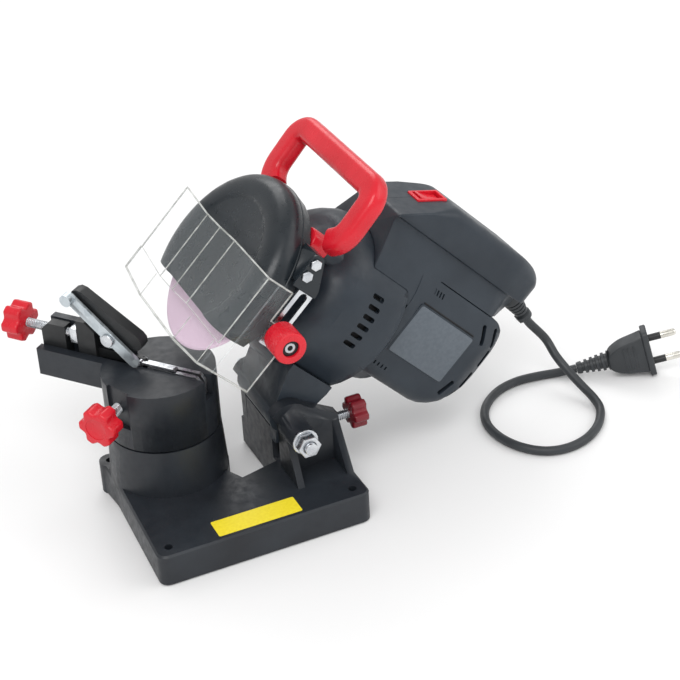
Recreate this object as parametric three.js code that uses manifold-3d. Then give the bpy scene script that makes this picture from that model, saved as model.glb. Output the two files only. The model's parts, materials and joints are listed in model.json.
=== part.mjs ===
// Electric chainsaw sharpener: a bench chain grinder with a cast base, a swivelling chain vice
// and a hinged grinding head. Millimetres, +Z up, the operator stands at -Y.
import * as THREE from 'three';
import { mergeVertices } from 'three/addons/utils/BufferGeometryUtils.js';
import Module from 'manifold-3d';

const wasm = await Module();
wasm.setup();

// Shared values
const fit = 0.3;
const overrun = 4;
const degree = Math.PI / 180;
const roundFacets = 18;
const bigFacets = 36;
const smallFacets = 12;

// Base casting
const baseWidth = 139;
const baseOffset = 2;
const baseDepth = 118;
const baseHeight = 22;
const baseWall = 3.4;
const baseCorner = 6;
const stripDepth = 54;
const lobeLeft = 33;
const benchHole = 2.6;
const benchInset = 9;
const earHoleX = 7;
const earHoleY = 111;
const earRadius = 7;
const ribThick = 2.4;

// Pedestal under the vice
const drumX = -28;
const drumY = 30.5;
const drumRadius = 35.6;
const pedestalFlare = 2.2;
const pedestalHeight = 32;
const pedestalWall = 3.6;
const pedestalPlate = 5;
const pedestalBoss = 9;

// Hinge tower
const pivotX = 38.5;
const pivotZ = 57.5;
const pivotPin = 4;
const frontEarY = -15;
const frontEarThick = 8;
const rearEarY = 55;
const rearEarThick = 8;
const earTop = 14;
const earRight = 71;
const earShoulder = 54.5;
const rearShoulder = 38.5;
const gussetThick = 4.5;
const gussetReach = 20;
const rightGussetTop = 50.5;
const pivotBoss = 8.5;
const pivotBossLength = 21;
const towerWallThick = 3.5;
const towerWallHeight = 22;
const washerThick = 1.8;
const washerRadius = 8.4;
const hexAcross = 13;
const nutThick = 6.5;
const boltHead = 5.3;
const boltTip = 2.5;

// Depth stop
const depthLugX = 51;
const depthLugThick = 6;
const depthLugHalf = 8;
const depthLugTop = 51;
const depthZ = 43.5;
const depthY = -3;
const depthRod = 3;
const depthKnobX = 83;
const depthKnobLength = 10;
const depthKnobRadius = 10.5;

// Vice, measured along the rail, across it and up from the top of the drum
const viceSwing = 51;
const viceTop = 40.5;
const turretPlate = 20;
const turretWall = 4.4;
const turretNotchWidth = 18;
const turretNotchDepth = 3;
const turretNotchAngle = 74;
const channelHalf = 4;
const channelDepth = 14;
const railFloor = 5;
const railFront = 6;
const railStart = 30;
const railEnd = 83;
const rearPlateStart = 20;
const rearPlateThick = 5;
const rearPlateHeight = 17;
const jawThick = 2.6;
const jawGap = 1;
const jawLength = 37;
const jawLeft = 5.4;
const jawProud = 0.8;
const blockStart = 64;
const blockLength = 17.6;
const blockHeight = 16;
const blockChamfer = 5;
const screwHeight = 11;
const screwRadius = 3;
const squareNut = 10;
const squareNutThick = 5;
const carriageStart = 42;
const carriageLength = 13;
const carriageHigh = 22.6;
const carriageLow = 16.5;
const carriageFoot = 5;
const armHigh = 3.4;
const armLow = 1.2;
const armTip = 8;
const armGap = 1.2;
const knobStart = 94.5;
const knobLength = 13;
const knobRadius = 13.8;
const knobLobe = 2.2;
const knobHub = 6.5;
const knobHubLength = 3;
const fingerPivot = 11;
const fingerRise = 1.1;
const fingerEye = 2.3;
const fingerReach = 25;
const fingerThick = 1.5;
const armNear = 0.4;
const armFar = 1.6;
const fingerNear = 3.2;
const fingerFar = 1.2;
const fingerPinRadius = 1.1;
const fingerPinHalf = 3.6;
const springRadius = 1.9;
const springWire = 0.3;
const springTurns = 2;
const springLength = 1.9;
const leverPinAlong = 29;
const leverPinHigh = 17;
const leverPinRadius = 2.4;
const leverNear = 6;
const leverThick = 2;
const leverHalf = 3.9;
const leverTopAlong = 54;
const leverTopHigh = 41;
const leverEndAlong = 12.5;
const leverEndHigh = 5;
const leverHub = 5.6;
const gripNear = 4.3;
const gripFar = 3.3;
const gripTopAlong = 50;
const gripTopHigh = 40;
const gripEndAlong = 13;
const gripEndHigh = 16.5;
const gripHalf = 5.8;
const lockAlong = 11.5;
const lockDrop = 14;
const lockRadius = 3.5;
const lockInside = 24;
const lockKnobNear = 44;
const lockKnobLength = 12;
const lockKnobRadius = 12.5;

// Grinding head, measured from the pivot: along the motor, sideways, and up from the pivot
const headTilt = 45.7;
const headY = 30.5;
const gearAxis = 71;
const gearRadius = 52.5;
const gearLength = 96;
const gearFront = -48;
const gearWall = 3;
const motorAxis = 85;
const spindleAxis = 53;
const lugRadius = 10.5;
const lugHalfWidth = 20;
const lugRise = 31;
const heelReach = 18.5;
const heelHalf = 5;
const swingLimit = 9;
const neckRadius = 15;
const neckFront = -66.7;
const neckBack = -31;
const ventCount = 6;
const ventPitch = 7;
const ventFirst = 64;
const ventAlong = 8;
const ventHigh = 3.6;
const ventFrom = -16;

// Motor housing, two halves
const motorFront = 41;
const motorEnd = 115.5;
const motorLow = 48.5;
const motorHigh = 122;
const motorHalf = 39;
const motorCorner = 17;
const motorWall = 3;
const saddleThick = 8;
const endVentCount = 4;
const endVentWide = 3.4;
const endVentLong = 8;
const endVentPitch = 14;
const plateLong = 51;
const plateHigh = 39;
const plateDeep = 0.5;
const plateFrom = 28;
const plateLow = 71;

// Handle block on top of the head
const topFront = -18;
const topBack = 116;
const topLow = 119;
const topCrease = 141;
const topShoulder = 142;
const topHigh = 166;
const topSlopeEnd = 19;
const topFoot = 33;
const topWaist = 23.5;
const topGrip = 26;
const topWall = 3;
const rockerX = 9.3;
const rockerLong = 21;
const rockerHalf = 7.5;
const rockerDeep = 13;
const rockerRim = 2;
const rockerProud = 1.5;
const rockerReach = 7.1;
const rockerPivotDrop = 4;
const rockerFoot = 2.5;

// Guard, disc and loop handle
const guardAxis = 55.5;
const guardRadius = 59.5;
const guardWall = 2.2;
const guardFront = -91;
const guardSeam = -74;
const guardBack = -67;
const guardBackRadius = 58.9;
const guardBackWall = 2.6;
const guardCut = 26.5;
const guardRim = 9;
const guardRecess = 1.6;
const guardRecessRadius = 41;
const discRadius = 54;
const discThick = 3.2;
const discBore = 11.1;
const discFace = -76.7;
const flangeRadius = 17;
const flangeThick = 2.6;
const spindleRadius = 6;
const spindleTip = -86.4;
const discNutThick = 6;
const discNutAcross = 17;
const bearingRadius = 11;
const bearingThick = 7;
const gearTeeth = 40;
const pinionTeeth = 10;
const gearThick = 10;
const toothRise = 1;
const loopCentre = -58.6;
const loopThick = 15.6;
const loopOuter = 64;
const loopBar = 17;
const loopHigh = 156;
const loopTopHalf = 49;
const loopShoulder = 139;
const loopHip = 111;
const loopFoot = 33;
const loopFootHigh = 95;
const loopEdge = 4.5;
const loopBoltRadius = 3.2;

// Shield and its clamp
const shieldThick = 2;
const shieldSide = 65;
const shieldTop = 72;
const shieldFold = 24;
const shieldBottom = 7;
const shieldBackY = 69.5;
const shieldBow = 8;
const shieldGap = 2;
const shieldTab = 55;
const shieldTabTop = 51;
const strapSide = 60.4;
const strapThick = 1.5;
const strapLow = 36;
const strapHigh = 98;
const strapWide = 14;
const strapAlong = -62.7;
const slotHalf = 2.8;
const slotLow = 43;
const slotHigh = 72;
const studRadius = 2.4;
const studHigh = 46.5;
const studHead = 4.2;
const studHeadThick = 1.8;
const thumbRadius = 10;
const thumbLength = 17;
const bracketLow = 78;
const strapBoltLow = 84;
const strapBoltHigh = 92.5;

// Rotor and stator
const rotorShaft = 4;
const rotorRadius = 17;
const rotorFrom = 63;
const rotorTo = 83.5;
const statorRadius = 31.4;
const fanThick = 9;
const fanRadius = 29;
const fanBlades = 9;
const fanHub = 9;
const commutatorRadius = 11;
const commutatorTo = 93;
const brushWide = 7;
const frontBearingFrom = 29;
const rotorBearingTo = 107.5;

// Cord and plug
const cordRadius = 3;
const reliefBack = 4.8;
const reliefTurn = 13.5;
const reliefLength = 27;
const reliefRoot = 8.5;
const reliefTip = 4.2;
const reliefCollar = 5.4;
const plugReliefLength = 22;
const plugLength = 26;
const flangeLong = 36;
const flangeWide = 15;
const plugFlange = 4;
const pinRadius = 2.4;
const pinLength = 19;
const pinSpacing = 19;

// Materials
function look(color, roughness, metalness) {
  return new THREE.MeshStandardMaterial({ color, roughness, metalness });
}
const castBlack = look(0x33393e, 0.6, 0.3);
const slate = look(0x39434b, 0.55, 0.05);
const black = look(0x1c1f21, 0.55, 0.05);
const red = look(0xe3182a, 0.35, 0.05);
const darkRed = look(0x8c1a22, 0.45, 0.05);
const zinc = look(0xb9bcc0, 0.35, 0.9);
const galvanised = look(0x7f8b97, 0.45, 0.8);
const steel = look(0xa4a8ac, 0.35, 0.9);
const copper = look(0xb4622c, 0.4, 0.8);
const lilac = look(0xd9a9c4, 0.85, 0);
const brass = look(0xc9a24a, 0.35, 0.9);
const rubber = look(0x2b3034, 0.75, 0);
const clear = look(0xd8e4e8, 0.1, 0);

// Solids from three.js geometry
function solid(geometry) {
  const bare = geometry.index ? geometry : geometry.clone();
  bare.deleteAttribute('normal');
  bare.deleteAttribute('uv');
  const merged = mergeVertices(bare, 1e-4);
  return new wasm.Manifold(new wasm.Mesh({
    numProp: 3,
    vertProperties: new Float32Array(merged.attributes.position.array),
    triVerts: new Uint32Array(merged.index.array),
  }));
}

function geometryOf(shape) {
  const mesh = shape.getMesh();
  const geometry = new THREE.BufferGeometry();
  geometry.setAttribute('position', new THREE.BufferAttribute(mesh.vertProperties, 3));
  geometry.setIndex(new THREE.BufferAttribute(mesh.triVerts, 1));
  const flat = geometry.toNonIndexed();
  flat.computeVertexNormals();
  return flat;
}

// Frames for extrusions: the outline's two axes and the direction it is pushed in
const alongX = new THREE.Matrix4().set(0, 0, 1, 0, 1, 0, 0, 0, 0, 1, 0, 0, 0, 0, 0, 1);
const alongY = new THREE.Matrix4().set(1, 0, 0, 0, 0, 0, -1, 0, 0, 1, 0, 0, 0, 0, 0, 1);

function push(points, length, bevel = 0) {
  const outline = new THREE.Shape(points.map(([a, b]) => new THREE.Vector2(a, b)));
  const geometry = new THREE.ExtrudeGeometry(outline, {
    depth: length - bevel - bevel,
    bevelEnabled: bevel > 0,
    bevelThickness: bevel,
    bevelSize: bevel,
    bevelOffset: -bevel,
    bevelSegments: 1,
  });
  geometry.translate(0, 0, bevel);
  return geometry;
}

// Outline in Y and Z pushed from x0 to x1
function barX(points, x0, x1, bevel = 0) {
  const geometry = push(points, x1 - x0, bevel).applyMatrix4(alongX);
  return solid(geometry.translate(x0, 0, 0));
}

// Outline in X and Z pushed from y0 to y1
function barY(points, y0, y1, bevel = 0) {
  const geometry = push(points, y1 - y0, bevel).applyMatrix4(alongY);
  return solid(geometry.translate(0, y1, 0));
}

// Outline in X and Y pushed from z0 to z1
function barZ(points, z0, z1, bevel = 0) {
  return solid(push(points, z1 - z0, bevel).translate(0, 0, z0));
}

function block(x0, x1, y0, y1, z0, z1) {
  const geometry = new THREE.BoxGeometry(x1 - x0, y1 - y0, z1 - z0);
  return solid(geometry.translate((x0 + x1) / 2, (y0 + y1) / 2, (z0 + z1) / 2));
}

function rodX(radius, x0, x1, y = 0, z = 0, facets = roundFacets) {
  const geometry = new THREE.CylinderGeometry(radius, radius, x1 - x0, facets);
  return solid(geometry.rotateZ(-Math.PI / 2).translate((x0 + x1) / 2, y, z));
}

function rodY(radius, y0, y1, x = 0, z = 0, facets = roundFacets) {
  const geometry = new THREE.CylinderGeometry(radius, radius, y1 - y0, facets);
  return solid(geometry.translate(x, (y0 + y1) / 2, z));
}

function rodZ(radius, z0, z1, x = 0, y = 0, facets = roundFacets) {
  const geometry = new THREE.CylinderGeometry(radius, radius, z1 - z0, facets);
  return solid(geometry.rotateX(Math.PI / 2).translate(x, y, (z0 + z1) / 2));
}

// Profile of [along, radius] turned about an axis parallel to X
function turnX(profile, y = 0, z = 0, facets = roundFacets) {
  const geometry = new THREE.LatheGeometry(profile.map(([a, r]) => new THREE.Vector2(r, a)), facets);
  return solid(geometry.rotateZ(-Math.PI / 2).translate(0, y, z));
}

// Profile of [radius, height] turned about an axis parallel to Z
function turnZ(profile, x = 0, y = 0, facets = roundFacets) {
  const geometry = new THREE.LatheGeometry(profile.map(([r, z]) => new THREE.Vector2(r, z)), facets);
  return solid(geometry.rotateX(Math.PI / 2).translate(x, y, 0));
}

function arc(x, y, radius, from, to, steps) {
  const points = [];
  for (let i = 0; i <= steps; i += 1) {
    const angle = (from + (to - from) * i / steps) * degree;
    points.push([x + radius * Math.cos(angle), y + radius * Math.sin(angle)]);
  }
  return points;
}

// Straight-sided outline with its corners rounded
function rounded(points, radius, steps = 3) {
  const result = [];
  points.forEach((corner, i) => {
    const here = new THREE.Vector2(...corner);
    const before = new THREE.Vector2(...points[(i + points.length - 1) % points.length]);
    const after = new THREE.Vector2(...points[(i + 1) % points.length]);
    const back = before.sub(here);
    const ahead = after.sub(here);
    const reach = Math.min(radius, back.length() * 0.45, ahead.length() * 0.45);
    const start = here.clone().addScaledVector(back.normalize(), reach);
    const end = here.clone().addScaledVector(ahead.normalize(), reach);
    const curve = new THREE.QuadraticBezierCurve(start, here, end);
    curve.getPoints(steps).forEach((p) => result.push([p.x, p.y]));
  });
  return result;
}

function rectangle(x0, x1, y0, y1) {
  return [[x0, y0], [x1, y0], [x1, y1], [x0, y1]];
}

function regular(count, radius, x = 0, y = 0, turn = 0) {
  const points = [];
  for (let i = 0; i < count; i += 1) {
    const angle = (2 * Math.PI * i) / count + turn;
    points.push([x + radius * Math.cos(angle), y + radius * Math.sin(angle)]);
  }
  return points;
}

function hexagon(across, x = 0, y = 0) {
  return regular(6, across / Math.sqrt(3), x, y);
}

// Six-lobed hand knob outline
function lobes(radius, depth, x = 0, y = 0) {
  const points = [];
  const steps = 30;
  for (let i = 0; i < steps; i += 1) {
    const angle = (2 * Math.PI * i) / steps;
    const reach = radius - depth / 2 + (depth / 2) * Math.cos(6 * angle);
    points.push([x + reach * Math.cos(angle), y + reach * Math.sin(angle)]);
  }
  return points;
}

// Toothed wheel outline with straight flanks
function toothed(count, module, y, z, turn) {
  const pitchRadius = module * count / 2;
  const tip = pitchRadius + toothRise;
  const root = pitchRadius - toothRise - toothRise / 4;
  const flankShares = [[-0.34, 0], [-0.12, 1], [0.12, 1], [0.34, 0]];
  const points = [];
  for (let i = 0; i < count; i += 1) {
    flankShares.forEach(([place, high]) => {
      const angle = 2 * Math.PI * (i + place) / count + turn;
      const reach = high ? tip : root;
      points.push([y + reach * Math.cos(angle), z + reach * Math.sin(angle)]);
    });
  }
  return points;
}

function join(...shapes) {
  return shapes.reduce((whole, shape) => whole.add(shape));
}

function cutAway(shape, ...tools) {
  return tools.reduce((whole, tool) => whole.subtract(tool), shape);
}

const sharpener = new THREE.Group();
const viceGroup = new THREE.Group();
const headGroup = new THREE.Group();
sharpener.add(viceGroup, headGroup);

function place(group, name, shape, material) {
  const mesh = new THREE.Mesh(shape.isBufferGeometry ? shape : geometryOf(shape), material);
  mesh.name = name;
  group.add(mesh);
  return mesh;
}

// Base
const left = baseOffset - baseWidth / 2;
const right = baseOffset + baseWidth / 2;
const front = -baseDepth / 2;
const rear = baseDepth / 2;
const stripRear = front + stripDepth;
const earX = left + earHoleX;
const earY = front + earHoleY;
const pedestalTop = baseHeight + pedestalHeight;
const pedestalFoot = drumRadius + pedestalFlare;

function baseOutline(inset) {
  const drumReach = pedestalFoot - inset;
  const lobeEdge = lobeLeft + inset;
  return [
    ...arc(left + baseCorner, front + baseCorner, baseCorner - inset, 180, 270, 5),
    ...arc(right - baseCorner, front + baseCorner, baseCorner - inset, 270, 360, 5),
    ...arc(right - baseCorner, rear - baseCorner, baseCorner - inset, 0, 90, 5),
    [lobeEdge, rear - inset],
    [lobeEdge, stripRear + baseCorner - inset],
    [drumX + drumRadius, stripRear - inset],
    ...arc(drumX, drumY, drumReach, -38, 118, 14),
    ...arc(earX, earY, earRadius - inset, 80, 160, 5),
    [left + benchInset / 3 + inset, drumY],
  ];
}

const earRest = [
  [lobeLeft, baseHeight - baseWall],
  [earRight - fit, baseHeight - baseWall],
];
const frontEarOutline = [
  ...earRest,
  [earRight - fit, earShoulder],
  ...arc(pivotX, pivotZ, earTop, 40, 145, 6),
  [lobeLeft - fit, earShoulder],
];
const rearEarOutline = [
  ...earRest,
  [earRight - fit, rearShoulder],
  [pivotX + earTop, earShoulder - fit],
  ...arc(pivotX, pivotZ, earTop - towerWallThick, 20, 160, 6),
  [lobeLeft - fit, earShoulder],
];

function gusset(x0, top) {
  const foot = frontEarY - gussetReach;
  const profile = [
    [frontEarY + fit, baseHeight - baseWall],
    [foot, baseHeight - baseWall],
    [foot, baseHeight],
    [frontEarY - fit, top],
    [frontEarY + fit, top],
  ];
  return barX(profile.reverse(), x0, x0 + gussetThick);
}

const stripPocket = rounded(
  rectangle(left + baseWall, right - baseWall, front + baseWall, stripRear - baseWall),
  baseCorner - baseWall,
);
const lobePocket = rounded(
  rectangle(lobeLeft + baseWall, right - baseWall, stripRear, rear - baseWall),
  baseCorner - baseWall,
);
const pocketTop = baseHeight - baseWall;
const pocketRibs = join(
  block(left, right, front + stripDepth / 2 - ribThick / 2, front + stripDepth / 2 + ribThick / 2,
    0, pocketTop),
  block(-ribThick / 2, ribThick / 2, front, stripRear, 0, pocketTop),
);
const hingeRibs = block(
  lobeLeft, right, drumY / 2 - ribThick / 2, drumY / 2 + ribThick / 2, 0, pocketTop,
);
const benchHoles = [
  [left + benchInset, front + benchInset],
  [right - benchInset, front + benchInset],
  [earX, earY],
];
const benchBosses = benchHoles.slice(0, 2).map(([x, y]) => (
  rodZ(benchHole + baseWall, 0, pocketTop + fit, x, y)
));
const pockets = join(
  barZ(stripPocket, -overrun, pocketTop).subtract(join(pocketRibs, ...benchBosses)),
  barZ(lobePocket, -overrun, pocketTop).subtract(hingeRibs),
  rodZ(drumRadius - pedestalWall, -overrun, pedestalTop - pedestalPlate, drumX, drumY, bigFacets),
);
const frontEarRear = frontEarY + frontEarThick;
const rearEarFront = rearEarY - rearEarThick;
const depthLug = rounded([
  [depthLugX, pocketTop],
  [depthLugX + depthLugThick, pocketTop],
  [depthLugX + depthLugThick, depthLugTop - depthRod],
  [depthLugX + depthLugThick / 2, depthLugTop],
  [depthLugX, depthLugTop],
], fit);
const baseBody = join(
  barZ(baseOutline(0), 0, baseHeight, ribThick / 2),
  turnZ([
    [0, pocketTop],
    [pedestalFoot, pocketTop],
    [drumRadius, pedestalTop - fit],
    [drumRadius, pedestalTop],
    [0, pedestalTop],
  ], drumX, drumY, bigFacets),
  barY(frontEarOutline, frontEarY, frontEarRear),
  barY(rearEarOutline, rearEarFront, rearEarY),
  rodY(pivotBoss, frontEarY - pivotBossLength, frontEarY + fit, pivotX, pivotZ),
  gusset(lobeLeft - fit, pivotZ + earTop / 2),
  gusset(earRight - fit - gussetThick, rightGussetTop),
  block(lobeLeft, lobeLeft + towerWallThick, depthY + depthLugHalf + fit, rearEarFront + fit,
    pocketTop, baseHeight + towerWallHeight),
  barY(depthLug, frontEarRear - fit, depthY + depthLugHalf),
  rodZ(earRadius, 0, baseHeight, earX, earY),
);
const baseCasting = cutAway(
  baseBody,
  pockets,
  rodY(pivotPin + fit, frontEarY - pivotBossLength - overrun, rearEarY + overrun, pivotX, pivotZ),
  rodX(depthRod + fit, depthLugX - overrun, depthLugX + depthLugThick + overrun, depthY, depthZ),
  rodZ(pivotPin + fit, -overrun, pedestalTop + overrun, drumX, drumY),
  ...benchHoles.map(([x, y]) => rodZ(benchHole, -overrun, baseHeight + overrun, x, y)),
);
place(sharpener, 'base_casting', baseCasting, castBlack);

// Pivot bolt with its washer and nut at the front boss
const bossEnd = frontEarY - pivotBossLength;
const washerEnd = bossEnd - fit - washerThick;
const nutEnd = washerEnd - fit - nutThick;
const pivotBolt = join(
  rodY(pivotPin, nutEnd - boltTip, rearEarY + 2 * fit, pivotX, pivotZ),
  barY(hexagon(hexAcross, pivotX, pivotZ), rearEarY + fit, rearEarY + fit + boltHead),
);
place(sharpener, 'pivot_bolt', pivotBolt, zinc);
const pivotWasher = rodY(washerRadius, washerEnd, bossEnd - fit, pivotX, pivotZ)
  .subtract(rodY(pivotPin + fit, washerEnd - overrun, bossEnd + overrun, pivotX, pivotZ));
place(sharpener, 'pivot_washer', pivotWasher, zinc);
const pivotNut = barY(hexagon(hexAcross, pivotX, pivotZ), nutEnd, washerEnd - fit)
  .subtract(rodY(pivotPin + fit, nutEnd - overrun, washerEnd + overrun, pivotX, pivotZ));
place(sharpener, 'pivot_nut', pivotNut, zinc);

// Depth-stop screw through the lug behind the front ear
const heelFace = pivotX + heelHalf;
const depthKnobEnd = depthKnobX + depthKnobLength;
const depthScrew = rodX(depthRod, heelFace + fit, depthKnobX + depthKnobLength / 2, depthY, depthZ);
const depthKnob = barX(lobes(depthKnobRadius, knobLobe, depthY, depthZ), depthKnobX, depthKnobEnd,
  2 * fit)
  .subtract(rodX(depthRod + fit, depthKnobX - overrun, depthKnobX + depthKnobLength / 2 + fit,
    depthY, depthZ));
place(sharpener, 'depth_screw', depthScrew, zinc);
place(sharpener, 'depth_knob', depthKnob, darkRed);

// Bolt that holds the vice on the pedestal, with its nut locked on underneath
const viceZ = pedestalTop + viceTop;
const counterbore = viceZ - channelDepth;
const viceBoltNut = pedestalTop - pedestalPlate;
const viceBolt = join(
  barZ(hexagon(hexAcross, drumX, drumY), viceBoltNut - fit - nutThick, viceBoltNut - fit),
  rodZ(pivotPin, viceBoltNut - fit - nutThick - boltTip, counterbore + fit, drumX, drumY),
  barZ(hexagon(hexAcross, drumX, drumY), counterbore - boltHead, counterbore),
);

// Vice: X along the rail towards its stop end, Y towards the operator, Z up
viceGroup.position.set(drumX, drumY, viceZ);
viceGroup.rotation.z = Math.PI - viceSwing * degree;
const railLow = -channelDepth - railFloor;
const turretLow = -viceTop + fit;
const turretUnder = -turretPlate - fit;
const notchFace = drumRadius - turretNotchDepth;
const notchBox = block(notchFace, drumRadius + overrun, -turretNotchWidth / 2, turretNotchWidth / 2,
  -turretPlate - railFloor, overrun).rotate([0, 0, turretNotchAngle]);
const rearPlate = rounded([
  [rearPlateStart, -channelDepth],
  [railEnd - channelHalf, -channelDepth],
  [railEnd - channelHalf, rearPlateHeight],
  [rearPlateStart + railFloor, rearPlateHeight],
  [rearPlateStart, rearPlateHeight - railFloor],
], 2 * fit);
const turret = cutAway(
  join(
    rodZ(drumRadius, turretLow, 0, 0, 0, bigFacets),
    block(railStart, railEnd, -channelHalf - rearPlateThick, channelHalf + railFront, railLow, 0)
      .subtract(block(railStart, railEnd + overrun, -channelHalf - rearPlateThick - overrun,
        -channelHalf - rearPlateThick + fit, railLow - overrun, railLow + fit)),
    barY(rearPlate, -channelHalf - rearPlateThick, -channelHalf),
  ),
  block(-drumRadius - overrun, railEnd + overrun, -channelHalf, channelHalf, -channelDepth, overrun),
  rodZ(drumRadius - turretWall, turretLow - overrun, turretUnder, 0, 0, bigFacets)
    .subtract(rodZ(pedestalBoss, turretLow, turretUnder + fit)),
  rodZ(pivotPin + fit, turretLow - overrun, overrun),
  rodZ(hexAcross / Math.sqrt(3) + fit, -channelDepth - boltHead - fit, -channelDepth + fit),
  rodY(leverPinRadius + fit, -channelHalf - rearPlateThick - overrun, -channelHalf + overrun,
    leverPinAlong, leverPinHigh, smallFacets),
  rodY(lockRadius + fit, lockInside, drumRadius + overrun, lockAlong, -lockDrop - fit),
  notchBox,
);
place(viceGroup, 'vice_turret', turret, castBlack);

const jawRight = jawLeft - jawLength;
function jaw(near) {
  const side = Math.sign(near);
  const outer = side * (channelHalf - fit);
  const inner = side * (channelHalf - fit - jawThick);
  const profile = rounded([
    [jawRight, -channelDepth + fit],
    [jawLeft, -channelDepth + fit],
    [jawLeft, jawProud],
    [jawRight + jawThick, jawProud],
    [jawRight, -jawThick],
  ], jawGap);
  return barY(profile, Math.min(inner, outer), Math.max(inner, outer));
}
place(viceGroup, 'jaw_front', jaw(1), steel);
place(viceGroup, 'jaw_rear', jaw(-1), steel);

const insideHalf = channelHalf - fit;
const blockEnd = blockStart + blockLength;
const stopBlock = barY([
  [blockStart, -channelDepth + fit],
  [blockEnd, -channelDepth + fit],
  [blockEnd, blockHeight - blockChamfer],
  [blockEnd - blockChamfer, blockHeight],
  [blockStart, blockHeight],
], -insideHalf, insideHalf)
  .subtract(rodX(screwRadius + fit, blockStart - overrun, blockEnd + overrun, 0, screwHeight));
place(viceGroup, 'stop_block', stopBlock, black);

const carriageEnd = carriageStart + carriageLength;
const carriageOutline = [
  [carriageStart, -carriageFoot],
  [carriageEnd, -carriageFoot],
  [carriageEnd, carriageHigh],
  [carriageStart + carriageLength / 2, carriageHigh],
  [carriageStart, carriageLow],
];
const armOutline = rounded([
  [armTip, -armLow],
  [carriageStart + fit, -armLow - armLow],
  [carriageStart + fit, armHigh + armLow],
  [armTip, armHigh],
], armLow);
const screwDepth = carriageStart + carriageLength / 3;
const carriage = cutAway(
  join(
    barY(carriageOutline, -insideHalf, insideHalf),
    barY(armOutline, -armFar, armNear),
  ),
  rodX(screwRadius + fit, screwDepth, carriageEnd + overrun, 0, screwHeight),
  rodY(fingerPinRadius + fit, -armFar - overrun, armNear + overrun, fingerPivot, fingerRise,
    smallFacets),
);
place(viceGroup, 'stop_carriage', carriage, black);

const fingerPin = rodY(fingerPinRadius, -fingerPinHalf, fingerPinHalf, fingerPivot, fingerRise,
  smallFacets);
place(viceGroup, 'finger_pin', fingerPin, zinc);

const fingerTip = fingerPivot - fingerReach;
const bladeEnd = armTip - armGap;
const finger = join(
  rodY(fingerEye, armNear + fit, fingerNear, fingerPivot, fingerRise),
  block(bladeEnd - fingerThick, fingerPivot, armNear + fit, fingerNear, fingerRise,
    fingerRise + fingerThick),
  barY([
    [fingerTip, fingerRise + fit],
    [bladeEnd, fingerRise],
    [bladeEnd, fingerRise + fingerThick],
    [fingerTip + fingerThick, fingerRise + fingerThick],
    [fingerTip, fingerRise + 2 * fit],
  ], -fingerFar, fingerNear),
).subtract(rodY(fingerPinRadius + fit, -overrun, overrun, fingerPivot, fingerRise, smallFacets));
place(viceGroup, 'chain_finger', finger, steel);

// Coil spring on the finger pin, one unbroken helix
function helix(radius, wire, turns, length, stepsPerTurn, sides) {
  const positions = [];
  const index = [];
  const rings = turns * stepsPerTurn + 1;
  for (let i = 0; i < rings; i += 1) {
    const turn = (2 * Math.PI * i) / stepsPerTurn;
    for (let k = 0; k < sides; k += 1) {
      const round = (2 * Math.PI * k) / sides;
      const reach = radius + wire * Math.cos(round);
      const along = length * i / (rings - 1) + wire * Math.sin(round);
      positions.push(reach * Math.cos(turn), along, reach * Math.sin(turn));
    }
  }
  for (let i = 0; i < rings - 1; i += 1) {
    for (let k = 0; k < sides; k += 1) {
      const a = i * sides + k;
      const b = i * sides + (k + 1) % sides;
      index.push(a, b, a + sides, b, b + sides, a + sides);
    }
  }
  for (let k = 1; k < sides - 1; k += 1) {
    const last = (rings - 1) * sides;
    index.push(0, k + 1, k, last, last + k, last + k + 1);
  }
  const geometry = new THREE.BufferGeometry();
  geometry.setAttribute('position', new THREE.Float32BufferAttribute(positions, 3));
  geometry.setIndex(index);
  return geometry;
}
const spring = helix(springRadius, springWire, springTurns, springLength - springWire, 8, 5);
const springMesh = place(viceGroup, 'finger_spring', spring, steel);
springMesh.position.set(fingerPivot, -armFar - springLength, fingerRise);

// Stop screw with its square nut and knob
const stopScrew = rodX(screwRadius, screwDepth + fit + channelHalf, knobStart + knobLength / 2,
  0, screwHeight);
place(viceGroup, 'stop_screw', stopScrew, zinc);
const nutStart = carriageEnd + fit;
const stopNut = barX(rectangle(-insideHalf, insideHalf, screwHeight - squareNut / 2,
  screwHeight + squareNut / 2), nutStart, nutStart + squareNutThick)
  .subtract(rodX(screwRadius + fit, nutStart - overrun, nutStart + squareNutThick + overrun,
    0, screwHeight));
place(viceGroup, 'stop_nut', stopNut, zinc);

function handKnob(radius, start, length, hubSide) {
  const hubStart = hubSide < 0 ? start - knobHubLength : start + length - fit;
  return join(
    barX(lobes(radius, knobLobe), start, start + length, 2 * fit),
    rodX(knobHub, hubStart, hubStart + knobHubLength + fit),
  );
}
const stopKnob = handKnob(knobRadius, knobStart, knobLength, -1)
  .translate([0, 0, screwHeight])
  .subtract(rodX(screwRadius + fit, knobStart - knobHubLength - overrun,
    knobStart + knobLength / 2 + fit, 0, screwHeight));
place(viceGroup, 'stop_knob', stopKnob, red);

// Clamp lever: galvanised strip, its black grip and the pin through the rear plate
function strap(x0, z0, x1, z1, half, y0, y1) {
  const angle = Math.atan2(z1 - z0, x1 - x0) / degree;
  return barY([
    ...arc(x0, z0, half, angle + 90, angle + 270, 5),
    ...arc(x1, z1, half, angle - 90, angle + 90, 5),
  ], y0, y1);
}
const leverPinHole = rodY(leverPinRadius + fit, -overrun - channelHalf, leverNear + leverThick + overrun,
  leverPinAlong, leverPinHigh, smallFacets);
const lever = cutAway(
  join(
    strap(leverEndAlong, leverEndHigh, leverTopAlong, leverTopHigh, leverHalf,
      leverNear, leverNear + leverThick),
    rodY(leverHub, leverNear, leverNear + leverThick, leverPinAlong, leverPinHigh),
    strap(leverTopAlong, leverTopHigh, leverTopAlong + fit, leverTopHigh + fit, leverHalf,
      leverNear + fit, leverNear + leverThick + channelHalf),
  ),
  leverPinHole,
);
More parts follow.
